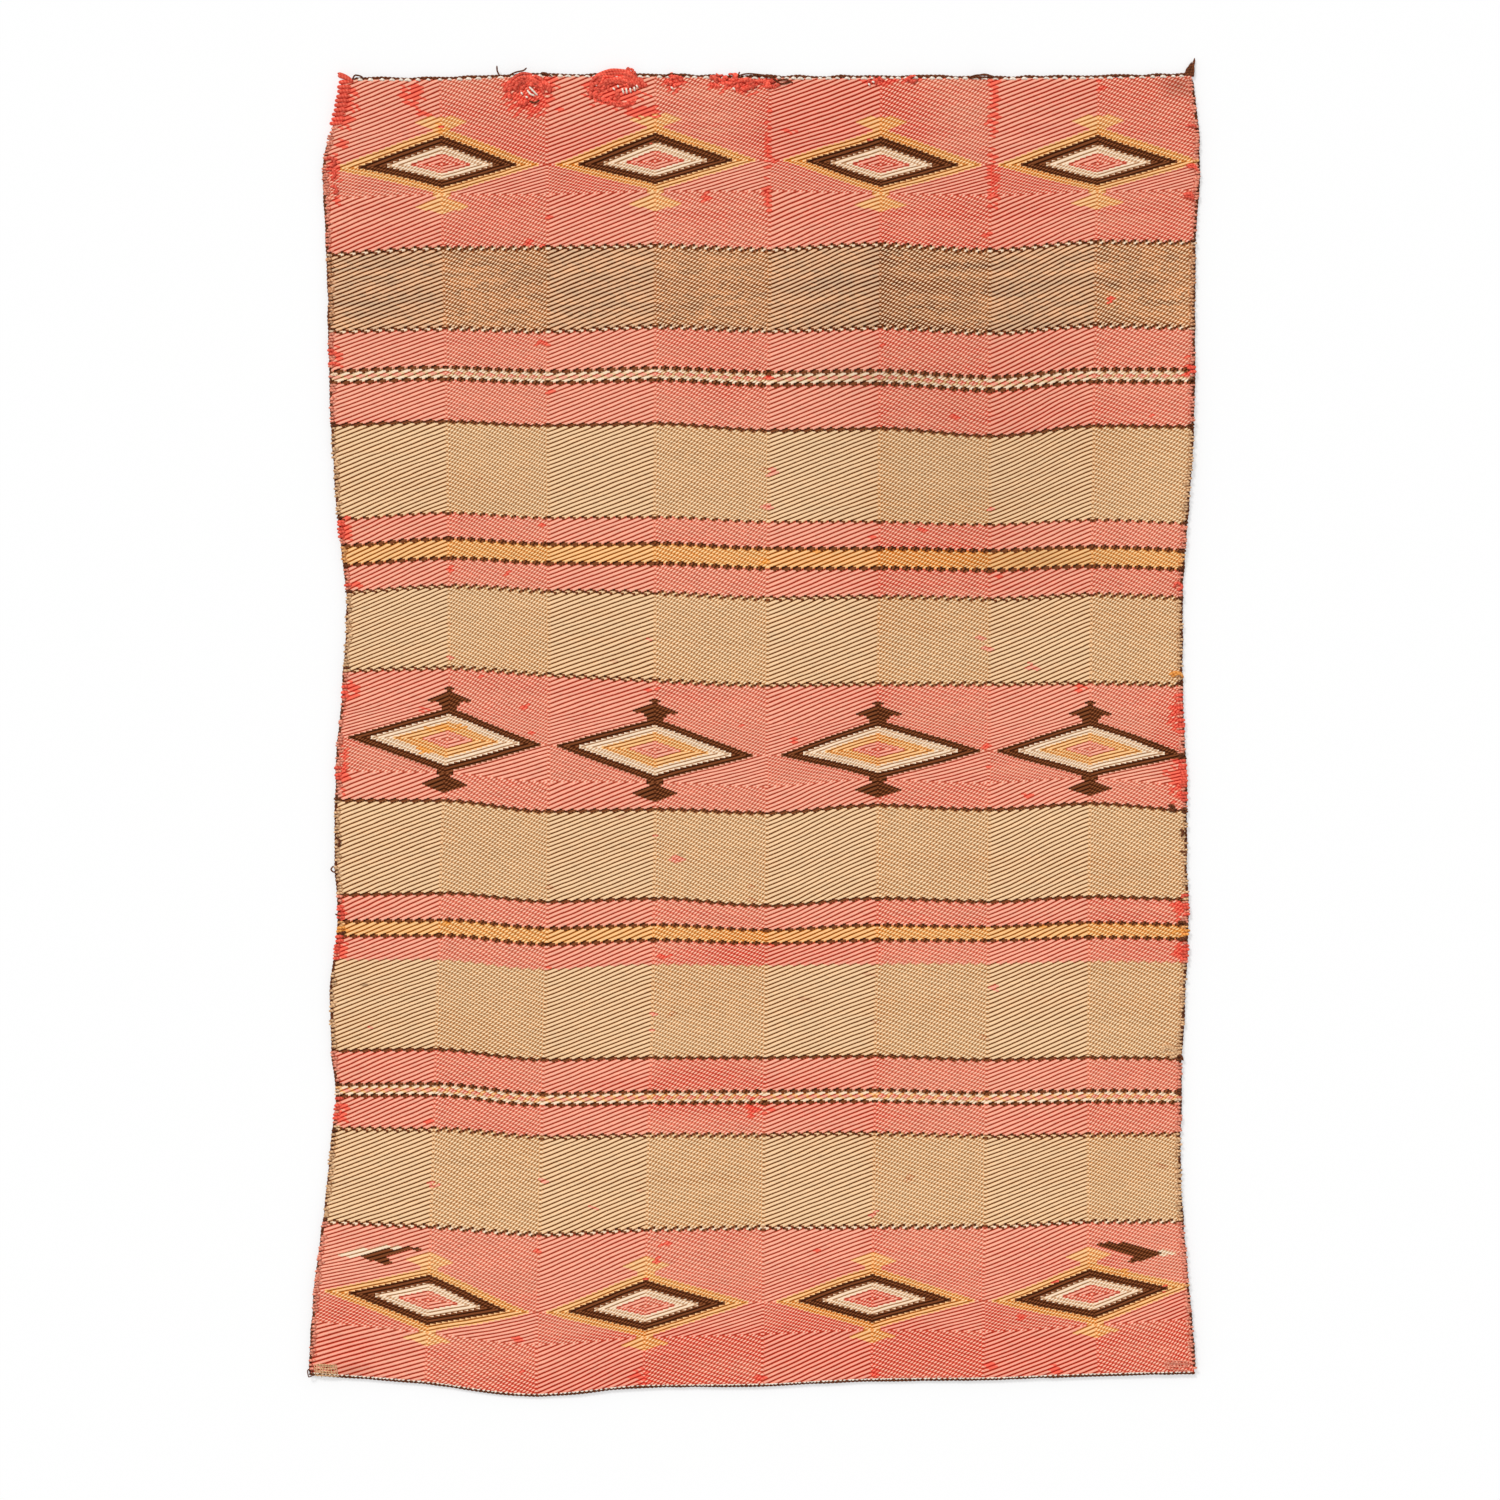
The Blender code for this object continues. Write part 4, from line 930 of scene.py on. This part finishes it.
fields = [dressFloats(0, 21), dressFloats(crest, 31)]
wovenPieces = {}
for name, number in ownerNumber.items():
    wovenPieces[name] = weavePiece(name, fields[0][1] == number, fields[1][1] == number)
print("woven pieces", len(wovenPieces))


# Strands of yarn as tubes
yarnTube = {
    "sides": 6,
    "twist": 3.0,  # along the strand, for one turn of its fibres
    "ends": (0.15, 0.8),  # how thin its last ring and the one before are
}


def lengthsAlong(points):
    return np.concatenate([[0], np.cumsum(np.linalg.norm(np.diff(points, axis=0), axis=1))])


def evenRoute(points, step):
    points = np.array(points, float)
    lengths = lengthsAlong(points)
    at = np.linspace(0, lengths[-1], max(3, int(lengths[-1] / step) + 1))
    return np.stack([np.interp(at, lengths, points[:, k]) for k in range(3)], axis=1), at


def tube(points, radii):
    # rings of points along a strand, and quads between them
    around = yarnTube["sides"]
    along = np.gradient(points, axis=0)
    along /= np.linalg.norm(along, axis=1)[:, None] + 1e-9
    side = np.cross(along, (0.0, 0.0, 1.0))
    side += 1e-6
    side /= np.linalg.norm(side, axis=1)[:, None]
    up = np.cross(side, along)
    angles = np.arange(around) * 2 * math.pi / around
    radii = np.broadcast_to(radii, len(points))[:, None, None]
    rings = points[:, None, :] + radii * (
        np.cos(angles)[None, :, None] * side[:, None, :]
        + np.sin(angles)[None, :, None] * up[:, None, :])
    count = len(points)
    index = np.arange((count - 1) * around)
    ring, place = index // around, index % around
    nextPlace = (place + 1) % around
    faces = np.stack([ring * around + place, (ring + 1) * around + place,
                      (ring + 1) * around + nextPlace, ring * around + nextPlace], axis=1)
    return rings.reshape(-1, 3), faces, np.tile(angles / (2 * math.pi), count)


def strandPiece(name, strands, yarn, nodes=()):
    # several strands as one piece; each strand is its points, radius and tone
    points, faces, values = [], [], []
    start = 0
    for route, radius, tone in strands:
        taper = np.ones(len(route))
        taper[[0, -1]] = yarnTube["ends"][0]
        if len(taper) > 4:
            taper[[1, -2]] = yarnTube["ends"][1]
        ring, quad, angle = tube(route, radius * taper)
        turnsAlong = np.repeat(lengthsAlong(route) / yarnTube["twist"], yarnTube["sides"])
        points.append(ring)
        faces.append(quad + start)
        values.append(np.stack([turnsAlong, angle, np.full(len(ring), tone)], axis=1))
        start += len(ring)
    piece = makeMesh(name, np.concatenate(points), np.concatenate(faces), [plied[yarn]])
    addValues(piece, "strand", "POINT", np.concatenate(values))
    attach(piece, "root")
    if nodes:
        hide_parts(*nodes)
    return piece


# Cords: two strands that wind about a route beside an edge
cord = {
    "strand": 1.1,
    "wind": 0.85,  # from the route to a strand's own middle
    "pitch": 8.0,  # along the cord, for one turn
    "step": 1.2,
    "lift": 2.2,
    "uneven": (0.75, 1.25),  # thick and thin places of handspun yarn
    "unevenEvery": 14,
    "tone": (-0.4, 1.4),
}


def windStrands(route, seed, tone, slackness):
    # two strands, half a turn apart, about one route
    rng = np.random.default_rng(seed)
    points, at = evenRoute(route, cord["step"])
    along = np.gradient(points, axis=0)
    along /= np.linalg.norm(along, axis=1)[:, None]
    side = np.cross(along, (0.0, 0.0, 1.0))
    up = np.cross(side, along)
    knots = np.arange(0, at[-1] + cord["unevenEvery"], cord["unevenEvery"])
    slack = slackness * np.interp(at, knots, rng.uniform(-1, 1, len(knots)))
    thick = np.interp(at, knots, rng.uniform(*cord["uneven"], len(knots)))
    strands = []
    for half in (0.0, math.pi):
        turn = at / cord["pitch"] * 2 * math.pi + half
        wound = points + cord["wind"] * (
            np.cos(turn)[:, None] * side + np.sin(turn)[:, None] * up) + slack[:, None] * side
        strands.append((wound, cord["strand"] * thick, tone + rng.uniform(*cord["tone"])))
    return strands


def edgeRoute(edge, inset, startPixel, endPixel):
    # down a selvedge, from one height of the photograph to another
    y = np.arange(fromPhoto(0, startPixel)[1], fromPhoto(0, endPixel)[1], -4.0)
    share = (cloth["length"] / 2 - y) / cloth["length"]
    places, values = zip(*edge)
    x = smoothCurve(places, values, np.clip(share, 0, 1)) * cloth["width"] + inset
    return np.stack([x, y, cushion(x, y) + cord["lift"]], axis=1)


def endRoute(row, start, end, beside):
    # along an end of the cloth, beside its first or last pick
    edge = 0 if row == 0 else pickCount
    x = np.linspace(start, end, int((end - start) / 6))
    y = np.interp(x, gridX[edge], gridY[edge]) + beside
    return np.stack([x, y, cushion(x, y) + cord["lift"]], axis=1)


# End cords: row, from and to, how far beside the last pick, and how slack
endRuns = {
    "top": (0, fromPhoto(353, 0)[0], gridX[0][-1] - 1, 1.2, 1.0),
    "bottom": (1, gridX[-1][0] - 2, gridX[-1][-1] + 1, -0.8, 0.3),
}
# Side cords: edge, how far inside it, and pixels of the photograph where their halves start and
# end. Above its first one the left cord has worn away
sideRuns = {
    "left": (leftEdge, 1.5, {"upper": (144, 700), "lower": (700, 1375)}),
    "right": (rightEdge, -1.5, {"upper": (80, 700), "lower": (700, 1372)}),
}
for end, (row, start, finish, beside, slackness) in endRuns.items():
    strands = windStrands(endRoute(row, start, finish, beside), seed=41 + row, tone=0.2,
                          slackness=slackness)
    strandPiece(f"twined_end_cord_{end}", strands, "dark", [f"end_cord_{end}"])
for side, (edge, inset, halves) in sideRuns.items():
    for half, (start, finish) in halves.items():
        strands = windStrands(edgeRoute(edge, inset, start, finish), seed=51 + start, tone=0.0,
                              slackness=0.6)
        strandPiece(f"twined_side_cord_{side}_{half}", strands, "dark", [f"side_cord_{side}"])


# Selvedges: each pair of picks turns round the last warps as a fat loop that hides the cord in
# places. Each kind of loop has its reach over the cloth, how far it stands past the edge, its
# radius, and the picks to the next
selvedge = {
    "plain": {"reach": (4, 8), "past": (-1.2, 1.5), "radius": (1.0, 1.4), "next": (2, 3, 3, 4)},
    "bright": {"reach": (6, 9), "past": (0.4, 1.7), "radius": (1.4, 1.8), "next": (3, 3, 4)},
    "bare": {"reach": 15, "past": (0.4, 1.7), "radius": 2.0, "next": 4},
    "bareAbove": 128,  # this pixel, on the left, where the cord has worn away
    "wornOff": 0.12,  # share of the plain loops
    "cordSide": 1.2,  # from the last warp to the outside of the cord
    "sunk": 1.1,
    "crown": 1.3,
    "drop": 2.6,  # over the edge
    "tone": (-0.9, 0.7),
}


def selvedgeTurns(side, seed):
    rng = np.random.default_rng(seed)
    place, out = (0, -1) if side == "left" else (-1, 1)
    groups = {}
    row = 3
    while row < pickCount - 3:
        yarn = yarnNames[fields[0][0][row, place]]
        x, y = gridX[row][place], gridY[row][place]
        bare = side == "left" and y > fromPhoto(0, selvedge["bareAbove"])[1]
        yarn = "red" if bare else yarn
        bright = yarn in ("red", "orange")
        loop = selvedge["bare" if bare else "bright" if bright else "plain"]
        reach = loop["reach"] if bare else rng.uniform(*loop["reach"])
        past = rng.uniform(*loop["past"])
        radius = loop["radius"] if bare else rng.uniform(*loop["radius"])
        t = np.linspace(0, 1, 8)
        points = np.stack([
            x + out * (past + selvedge["cordSide"]) - out * reach * (1 - np.sin(t * math.pi / 2)),
            y - out * rng.uniform(0.2, 1.4) * (1 - t) + rng.uniform(-0.3, 0.3),
            heightAt(x, y) - selvedge["sunk"] + selvedge["crown"] * np.sin(t * 2.4)
            - selvedge["drop"] * np.clip(t - 0.6, 0, 1) ** 1.5,
        ], axis=1)
        half = "upper" if row < pickCount / 2 else "lower"
        if rng.random() > selvedge["wornOff"] or bright:
            groups.setdefault((yarn, half), []).append(
                (points, radius, rng.uniform(*selvedge["tone"])))
        row += loop["next"] if bare else int(rng.choice(loop["next"]))
    for (yarn, half), strands in sorted(groups.items()):
        strandPiece(f"selvedge_turns_{side}_{yarn}_{half}", strands, yarn)


selvedgeTurns("left", 91)
selvedgeTurns("right", 92)


# Warp ends: the turn of each warp shows as a pale tooth between the last pick and the cord
warpTeeth = {
    "top": {"pick": 0, "out": 1, "start": 18.0, "spacing": 9.0, "size": 3.4, "seed": 61},
    "bottom": {"pick": -1, "out": -1, "start": 3.0, "spacing": 4.2, "size": 1.9, "seed": 62},
}
toothShape = {"wide": 1.9, "inside": 0.45, "high": 0.9, "thick": 0.36, "sunk": 1.4, "crown": 1.2}


def warpEnds(end, teeth):
    rng = np.random.default_rng(teeth["seed"])
    lineX, lineY, out = gridX[teeth["pick"]], gridY[teeth["pick"]], teeth["out"]
    strands = []
    x = lineX[0] + teeth["start"]
    while x < lineX[-1] - 3:
        y = np.interp(x, lineX, lineY)
        t = np.linspace(0, 1, 6)
        reach = teeth["size"] * rng.uniform(0.7, 1.3)
        arch = 0.5 - toothShape["high"] * np.abs(t - 0.45)
        points = np.stack([
            x + reach * (t - 0.5) * toothShape["wide"],
            y - out * toothShape["inside"] * reach + out * reach * arch,
            heightAt(x, y) - toothShape["sunk"] + toothShape["crown"] * np.sin(t * math.pi),
        ], axis=1)
        radius = toothShape["thick"] * teeth["size"] * rng.uniform(0.8, 1.2)
        strands.append((points, radius, rng.uniform(-0.3, 0.6)))
        x += teeth["spacing"] * rng.uniform(0.7, 1.3)
    half = len(strands) // 2
    for side, share in (("left", strands[:half]), ("right", strands[half:])):
        strandPiece(f"warp_turns_{end}_{side}", share, "warp", ["warp_yarn"])


for end, teeth in warpTeeth.items():
    warpEnds(end, teeth)
print("cords, selvedges and warp ends")


# Loose yarn: curves through pixels of the photograph, laid on the cloth
looseLay = {"sunk": 0.9, "arch": 0.6, "tangle": 0.6}


def looseStrand(pixels, lift, radius, tone, rng, wander=0.8):
    places = np.array([fromPhoto(*pixel) for pixel in pixels])
    places = places + rng.normal(0, wander, places.shape) * looseLay["tangle"]
    steps = np.arange(len(places))
    points = smoothCurve(steps, places, np.linspace(0, steps[-1], 4 * len(places) + 1))
    t = np.linspace(0, 1, len(points))
    z = heightAt(points[:, 0], points[:, 1]) - looseLay["sunk"]
    z = z + lift * np.sin(t * math.pi) ** looseLay["arch"]
    return np.column_stack([points, z]), radius, tone


def bundle(pixels, count, apart, lift, radius, rng):
    # several strands side by side along one curve
    strands = []
    for number in range(count):
        shift = (number - (count - 1) / 2) * apart
        moved = [(px + 0.4 * shift, py + shift) for px, py in pixels]
        strands.append(looseStrand(moved, lift + rng.uniform(-0.5, 0.8),
                                   radius * rng.uniform(0.8, 1.2), rng.uniform(-0.9, 0.6), rng))
    return strands


# Short ends of pulled weft, felted into arcs round a worn place
matting = {
    "hollow": 0.12,  # share of a mat's area that its middle leaves open
    "arc": (25, 55),  # degrees
    "slip": 0.08,
    "lift": (0.2, 3.2),
    "radius": (0.6, 1.25),
    "tone": (-1.2, 1.6),
    "wander": 1.3,
}


def mattedArcs(mat, rng):
    middle, reach, count, (start, finish), radius = mat
    strands = []
    for _ in range(count):
        share = math.sqrt(rng.uniform(matting["hollow"], 1.0))
        turned = math.radians(rng.uniform(start, finish))
        turned = turned + math.radians(rng.uniform(*matting["arc"])) * np.linspace(0, 1, 5)
        slip = rng.normal(0, matting["slip"], 2) * reach
        pixels = [(middle[0] + slip[0] + reach[0] * share * math.cos(a),
                   middle[1] + slip[1] - reach[1] * share * math.sin(a)) for a in turned]
        strands.append(looseStrand(pixels, rng.uniform(*matting["lift"]),
                                   radius * rng.uniform(*matting["radius"]),
                                   rng.uniform(*matting["tone"]), rng, matting["wander"]))
    return strands


# Frays along the top: the cord has broken and the red weft has come up in mats, over bare warps.
# A mat is its middle, its reach across and up in pixels, its ends of yarn, where they begin in
# degrees, and their radius
frays = {
    "first": {"at": "top_left", "mats": (
        ((529, 93), (22, 15), 44, (0, 150), 1.7), ((513, 90), (6, 8), 8, (60, 230), 1.7),
        ((522, 101), (10, 4), 7, (190, 300), 1.4)),
        "red": (((508, 88), (514, 80), (523, 76), (534, 77)),),
        "warp": (((529, 87), (532, 90), (538, 96)), ((527, 90), (531, 95), (535, 96)),
                 ((521, 93), (523, 95)), ((526, 97), (528, 98))),
        "dark": (((507, 77), (516, 73), (524, 71), (527, 68)), ((541, 73), (547, 74), (553, 77)),
                 ((497, 66), (498, 71), (500, 77)), ((529, 101), (535, 103), (540, 100)))},
    "second": {"at": "top_middle", "mats": (
        ((619, 90), (28, 18), 46, (0, 150), 1.9), ((606, 95), (13, 9), 16, (150, 330), 1.7),
        ((622, 101), (15, 5), 12, (180, 330), 1.6), ((596, 92), (7, 5), 7, (90, 300), 1.6),
        ((631, 71), (4, 4), 7, (0, 330), 1.5), ((600, 84), (9, 7), 10, (60, 240), 1.5)),
        "red": (((592, 82), (602, 75), (614, 72), (626, 73), (638, 77)),
                ((596, 88), (606, 82), (618, 80), (632, 82), (642, 86))),
        "warp": (((595, 84), (597, 86)), ((613, 88), (615, 90)), ((617, 86), (619, 87)),
                 ((622, 88), (624, 94)), ((626, 88), (627, 94)), ((630, 88), (631, 93)),
                 ((636, 85), (638, 88)), ((634, 87), (635, 91))),
        "dark": (((541, 73), (548, 74)),)},
    "third": {"at": "top_middle", "mats": (((674, 82), (9, 6), 15, (0, 330), 1.5),), "red": (),
              "warp": (((671, 87), (673, 89)),),
              "dark": (((663, 77), (672, 74), (683, 76)),)},
    "fourth": {"at": "top_middle", "mats": (
        ((719, 82), (8, 7), 15, (0, 330), 1.6), ((730, 79), (8, 5), 11, (0, 330), 1.6),
        ((744, 85), (8, 7), 15, (0, 330), 1.7), ((756, 84), (9, 5), 12, (0, 330), 1.6),
        ((771, 84), (9, 4), 11, (0, 330), 1.5)), "red": (),
        "warp": (((733, 88), (735, 90)),),
        "dark": (((738, 76), (748, 74), (760, 75), (773, 79), (781, 84), (792, 82)),
                 ((777, 80), (785, 80), (794, 83)), ((740, 72), (738, 76)))},
    "fifth": {"at": "top_right", "mats": (
        ((874, 80), (9, 3), 8, (0, 330), 1.3), ((914, 79), (9, 3), 7, (0, 330), 1.3)), "red": (),
        "warp": (((868, 84), (870, 85)), ((872, 82), (874, 83)), ((914, 77), (918, 79))),
        "dark": (((968, 78), (978, 75.5), (988, 76), (999, 79)),
                 ((970, 79), (978, 77.5), (988, 77.5)), ((972, 77.5), (984, 75), (996, 78)))},
}
# Lumps and broken ends at the selvedges: yarn, curve, strands, radius
edgeBits = (
    ("red", ((354, 82), (346, 78), (338, 74.5)), 2, 3.6),
    ("dark", ((352, 80), (356, 76), (361, 77), (364, 80)), 1, 1.6),
    ("red", ((324, 160), (330, 158), (335, 163), (330, 168)), 1, 2.8),
    ("red", ((325, 170), (331, 170), (336, 175), (331, 180)), 1, 2.8),
    ("red", ((330, 186), (336, 187), (337, 192), (332, 194)), 1, 2.6),
    ("dark", ((336, 839), (340, 841), (338, 845), (342, 846)), 1, 2.0),
    ("dark", ((333, 866), (330, 869), (334, 872), (338, 869)), 1, 1.8),
    ("dark", ((335, 914), (340, 916), (337, 919)), 1, 2.0),
    ("dark", ((338, 930), (342, 933), (345, 931), (341, 936)), 1, 2.4),
    ("dark", ((312, 1368), (307, 1371), (309, 1376), (314, 1374), (312, 1369)), 1, 1.4),
    ("orange", ((1170, 676), (1177, 673), (1184, 676)), 2, 2.6),
    ("red", ((1173, 588), (1177, 583), (1182, 587), (1177, 591)), 1, 3.0),
    ("red", ((1185, 127), (1192, 126), (1197, 129)), 1, 2.8),
    ("red", ((1187, 167), (1193, 166), (1198, 170)), 2, 2.8),
    ("red", ((1184, 196), (1190, 195), (1194, 199)), 2, 2.8),
    ("dark", ((1168, 806), (1173, 805), (1174, 811), (1169, 810), (1172, 807)), 1, 2.6),
    ("dark", ((1180, 830), (1184, 832), (1182, 837)), 1, 2.2),
    ("dark", ((1180, 851), (1186, 853), (1182, 857)), 1, 2.0),
    ("dark", ((1178, 922), (1184, 923), (1187, 926)), 1, 2.4),
    ("dark", ((1175, 938), (1181, 939), (1187, 938)), 1, 2.4),
    ("tan", ((1161, 1052), (1166, 1046), (1172, 1049), (1177, 1053), (1168, 1057)), 2, 3.4),
    ("dark", ((1174, 1056), (1180, 1055), (1183, 1061)), 1, 2.6),
)
# Darns: a patch of thin yarn crossed over a worn corner: yarn, pixels left, right, top, bottom
darns = (("tan", 314, 339, 1363, 1377), ("coral", 1163, 1191, 1359, 1369))
darning = {"apart": (2.8, 2.4), "skew": 1.5, "lift": (1.1, 1.3), "radius": (0.5, 0.55)}


def darned(left, right, top, bottom, rng):
    strands = []
    for way, (start, finish) in enumerate(((left, right), (top, bottom))):
        for at in np.arange(start, finish, darning["apart"][way]):
            skewed = at + darning["skew"]
            ends = ((left, at), (right, skewed)) if way else ((at, top), (skewed, bottom))
            strands.append(looseStrand(ends, darning["lift"][way], darning["radius"][way],
                                       rng.uniform(-0.8, 0.8), rng))
    return strands


def looseYarns():
    rng = np.random.default_rng(81)
    groups = {}
    for fray in frays.values():
        place = fray["at"]
        mats = groups.setdefault(("frayed_weft_" + place, "red"), [])
        for mat in fray["mats"]:
            mats.extend(mattedArcs(mat, rng))
        for pixels in fray["red"]:
            mats.extend(bundle(pixels, count=2, apart=3.0, lift=2.0, radius=1.7, rng=rng))
        for pixels in fray["warp"]:
            groups.setdefault(("bare_warps_" + place, "warp"), []).append(
                looseStrand(pixels, lift=2.9, radius=0.95, tone=0.5, rng=rng, wander=0.2))
        for pixels in fray["dark"]:
            groups.setdefault(("broken_cord_" + place, "dark"), []).append(
                looseStrand(pixels, lift=2.4, radius=0.8, tone=rng.uniform(-0.3, 0.8), rng=rng,
                            wander=0.3))
    for yarn, pixels, count, radius in edgeBits:
        side = "left" if pixels[0][0] < photo["middle"][0] else "right"
        groups.setdefault((f"loose_{yarn}_{side}", yarn), []).extend(
            bundle(pixels, count, apart=2.6, lift=1.8, radius=radius / 2, rng=rng))
    for number, (yarn, *corners) in enumerate(darns, 1):
        groups.setdefault((f"darn_{number}", yarn), []).extend(darned(*corners, rng))
    for (name, yarn), strands in groups.items():
        strandPiece(name, strands, yarn)


looseYarns()


# Tassel: the ends of both cords, knotted at the upper right corner
tassel = {
    "base": ((1184, 77), (1193.5, 77)),  # pixels of the knot's two sides
    "tip": ((1190, 63), (1194.5, 60)),
    "ends": 34,
    "reach": (0.75, 1.0),
    "longest": (3, 1.15),  # how many ends reach further, and how far
    "radius": (0.6, 0.9),
    "tone": (-0.6, 2.2),
    "lift": 2.4,
}


def cornerTassel():
    rng = np.random.default_rng(71)
    baseX, baseY = np.array([fromPhoto(*pixel) for pixel in tassel["base"]]).T
    tipX, tipY = np.array([fromPhoto(*pixel) for pixel in tassel["tip"]]).T
    level = float(cushion(baseX[0], baseY[0])) + tassel["lift"]
    longest, far = tassel["longest"]
    strands = []
    for end in range(tassel["ends"]):
        t = np.linspace(0, 1, 8)
        place = end / (tassel["ends"] - 1)
        reach = rng.uniform(*tassel["reach"]) if end < tassel["ends"] - longest else far
        x = (baseX[0] + (baseX[1] - baseX[0]) * place) * (1 - t * reach)
        x += (tipX[0] + (tipX[1] - tipX[0]) * place) * t * reach + 0.5 * np.sin(t * 7 + end)
        y = baseY[0] + (tipY[0] + (tipY[1] - tipY[0]) * place - baseY[0]) * t * reach
        z = level + rng.uniform(-1.5, 1.5) * np.sin(t * math.pi) - 1.2 * t
        points = np.stack([x, y, z], axis=1)
        strands.append((points, rng.uniform(*tassel["radius"]), rng.uniform(*tassel["tone"])))
    strandPiece("corner_tassel_yarns", strands, "dark", ["corner_tassel"])


cornerTassel()
print("frays, loose ends, darns and tassel")

# Sheets: each wide band is a run of cloth as wide as the blanket, and goes with the narrow
# bands, stripes and diamonds below it or in it
inlays = {bands[0][0]: "top_diamond", bands[10][0]: "centre_diamond",
          bands[20][0]: "bottom_diamond"}
narrowest = 20.0
sheets = {}
stripeNumber = 0
for node, yarn, height, kind in bands:
    if height >= narrowest:
        wide = node
        sheets[wide] = (height, [])
    else:
        sheets[wide][1].append(wovenPieces[node])
    if node in inlays:
        sheets[wide][1].extend(wovenPieces[f"{inlays[node]}_{place}"] for place in (1, 2, 3, 4))
    if kind:
        stripeNumber += 1
        sheets[wide][1].append(wovenPieces[f"stripe_{stripeNumber:02d}_{kind}_dark"])
print("sheets", len(sheets))


# Studio: white paper, even light with a soft sun from the upper left, camera straight above
studioSettings = {
    "floorHalf": 6.0,  # metres
    "paper": "FBFBFB",
    "brightened": 0.5,  # how far the seen paper is brought to plain white
    "skyStrength": 0.62,
    "sunStrength": 1.75,
    "sunSpread": 14,  # degrees
    "sunTilt": (-36, -24),
    "lens": 100,  # millimetres
    "film": 36,
}


def seenDirectly(tree):
    # 1 for what the camera sees, straight or by a reflection, and 0 for the light that bounces
    rays = addNode(tree, "LightPath").outputs
    seen = addNode(tree, "Math", {0: rays["Is Camera Ray"], 1: rays["Is Glossy Ray"]},
                   operation="ADD")
    return addNode(tree, "Math", {0: seen, 1: rays["Is Transmission Ray"]}, operation="ADD",
                   use_clamp=True)


def whitePaper():
    # smooth uncoated paper roll: dead matt, so it shows a soft shadow and no gloss
    finish = {"Base Color": colour(studioSettings["paper"]), "Roughness": 1.0,
              "Specular IOR Level": 0.0}
    material, tree, shader = startMaterial("mattWhitePaper", finish)
    glow = addNode(tree, "Emission", {"Color": (1, 1, 1, 1), "Strength": 1.0})
    share = addNode(tree, "Math", {0: seenDirectly(tree), 1: studioSettings["brightened"]},
                    operation="MULTIPLY")
    mixed = addNode(tree, "MixShader", {0: share, 1: shader, 2: glow})
    tree.links.new(mixed.outputs[0], tree.nodes["Material Output"].inputs["Surface"])
    return material


def whiteSky():
    # the light comes from all round, and the camera sees plain white
    world = bpy.data.worlds.new("paleStudio")
    bpy.context.scene.world = world
    world.use_nodes = True
    tree = world.node_tree
    light = tree.nodes["Background"]
    light.inputs["Color"].default_value = (1, 1, 1, 1)
    light.inputs["Strength"].default_value = studioSettings["skyStrength"]
    backdrop = addNode(tree, "Background", {"Color": (1, 1, 1, 1), "Strength": 1.0})
    mixed = addNode(tree, "MixShader", {0: seenDirectly(tree), 1: light, 2: backdrop})
    tree.links.new(mixed.outputs[0], tree.nodes["World Output"].inputs["Surface"])


def studio():
    half = studioSettings["floorHalf"]
    ground = bpy.data.meshes.new("floor")
    ground.from_pydata([(-half, -half, 0), (half, -half, 0), (half, half, 0), (-half, half, 0)],
                       [], [(0, 1, 2, 3)])
    floor = bpy.data.objects.new("floor", ground)
    bpy.context.scene.collection.objects.link(floor)
    ground.materials.append(whitePaper())
    whiteSky()

    lamp = bpy.data.lights.new("softSun", "SUN")
    lamp.energy = studioSettings["sunStrength"]
    lamp.angle = math.radians(studioSettings["sunSpread"])
    sun = bpy.data.objects.new("softSun", lamp)
    sun.rotation_euler = [math.radians(angle) for angle in (*studioSettings["sunTilt"], 0)]
    bpy.context.scene.collection.objects.link(sun)

    lens = bpy.data.cameras.new("camera")
    lens.lens = studioSettings["lens"]
    lens.sensor_width = studioSettings["film"]
    camera = bpy.data.objects.new("camera", lens)
    side = photo["frame"] * photo["mmPerPixel"]
    middle = fromPhoto(photo["frame"] / 2, photo["frame"] / 2)
    camera.location = (
        (middle[0] + cloth["middle"][0]) * mm,
        (middle[1] + cloth["middle"][1]) * mm,
        (side * lens.lens / lens.sensor_width + cloth["thickness"]) * mm,
    )
    bpy.context.scene.collection.objects.link(camera)
    bpy.context.scene.camera = camera


studio()
bpy.context.scene.view_settings.view_transform = "Standard"
print("studio")
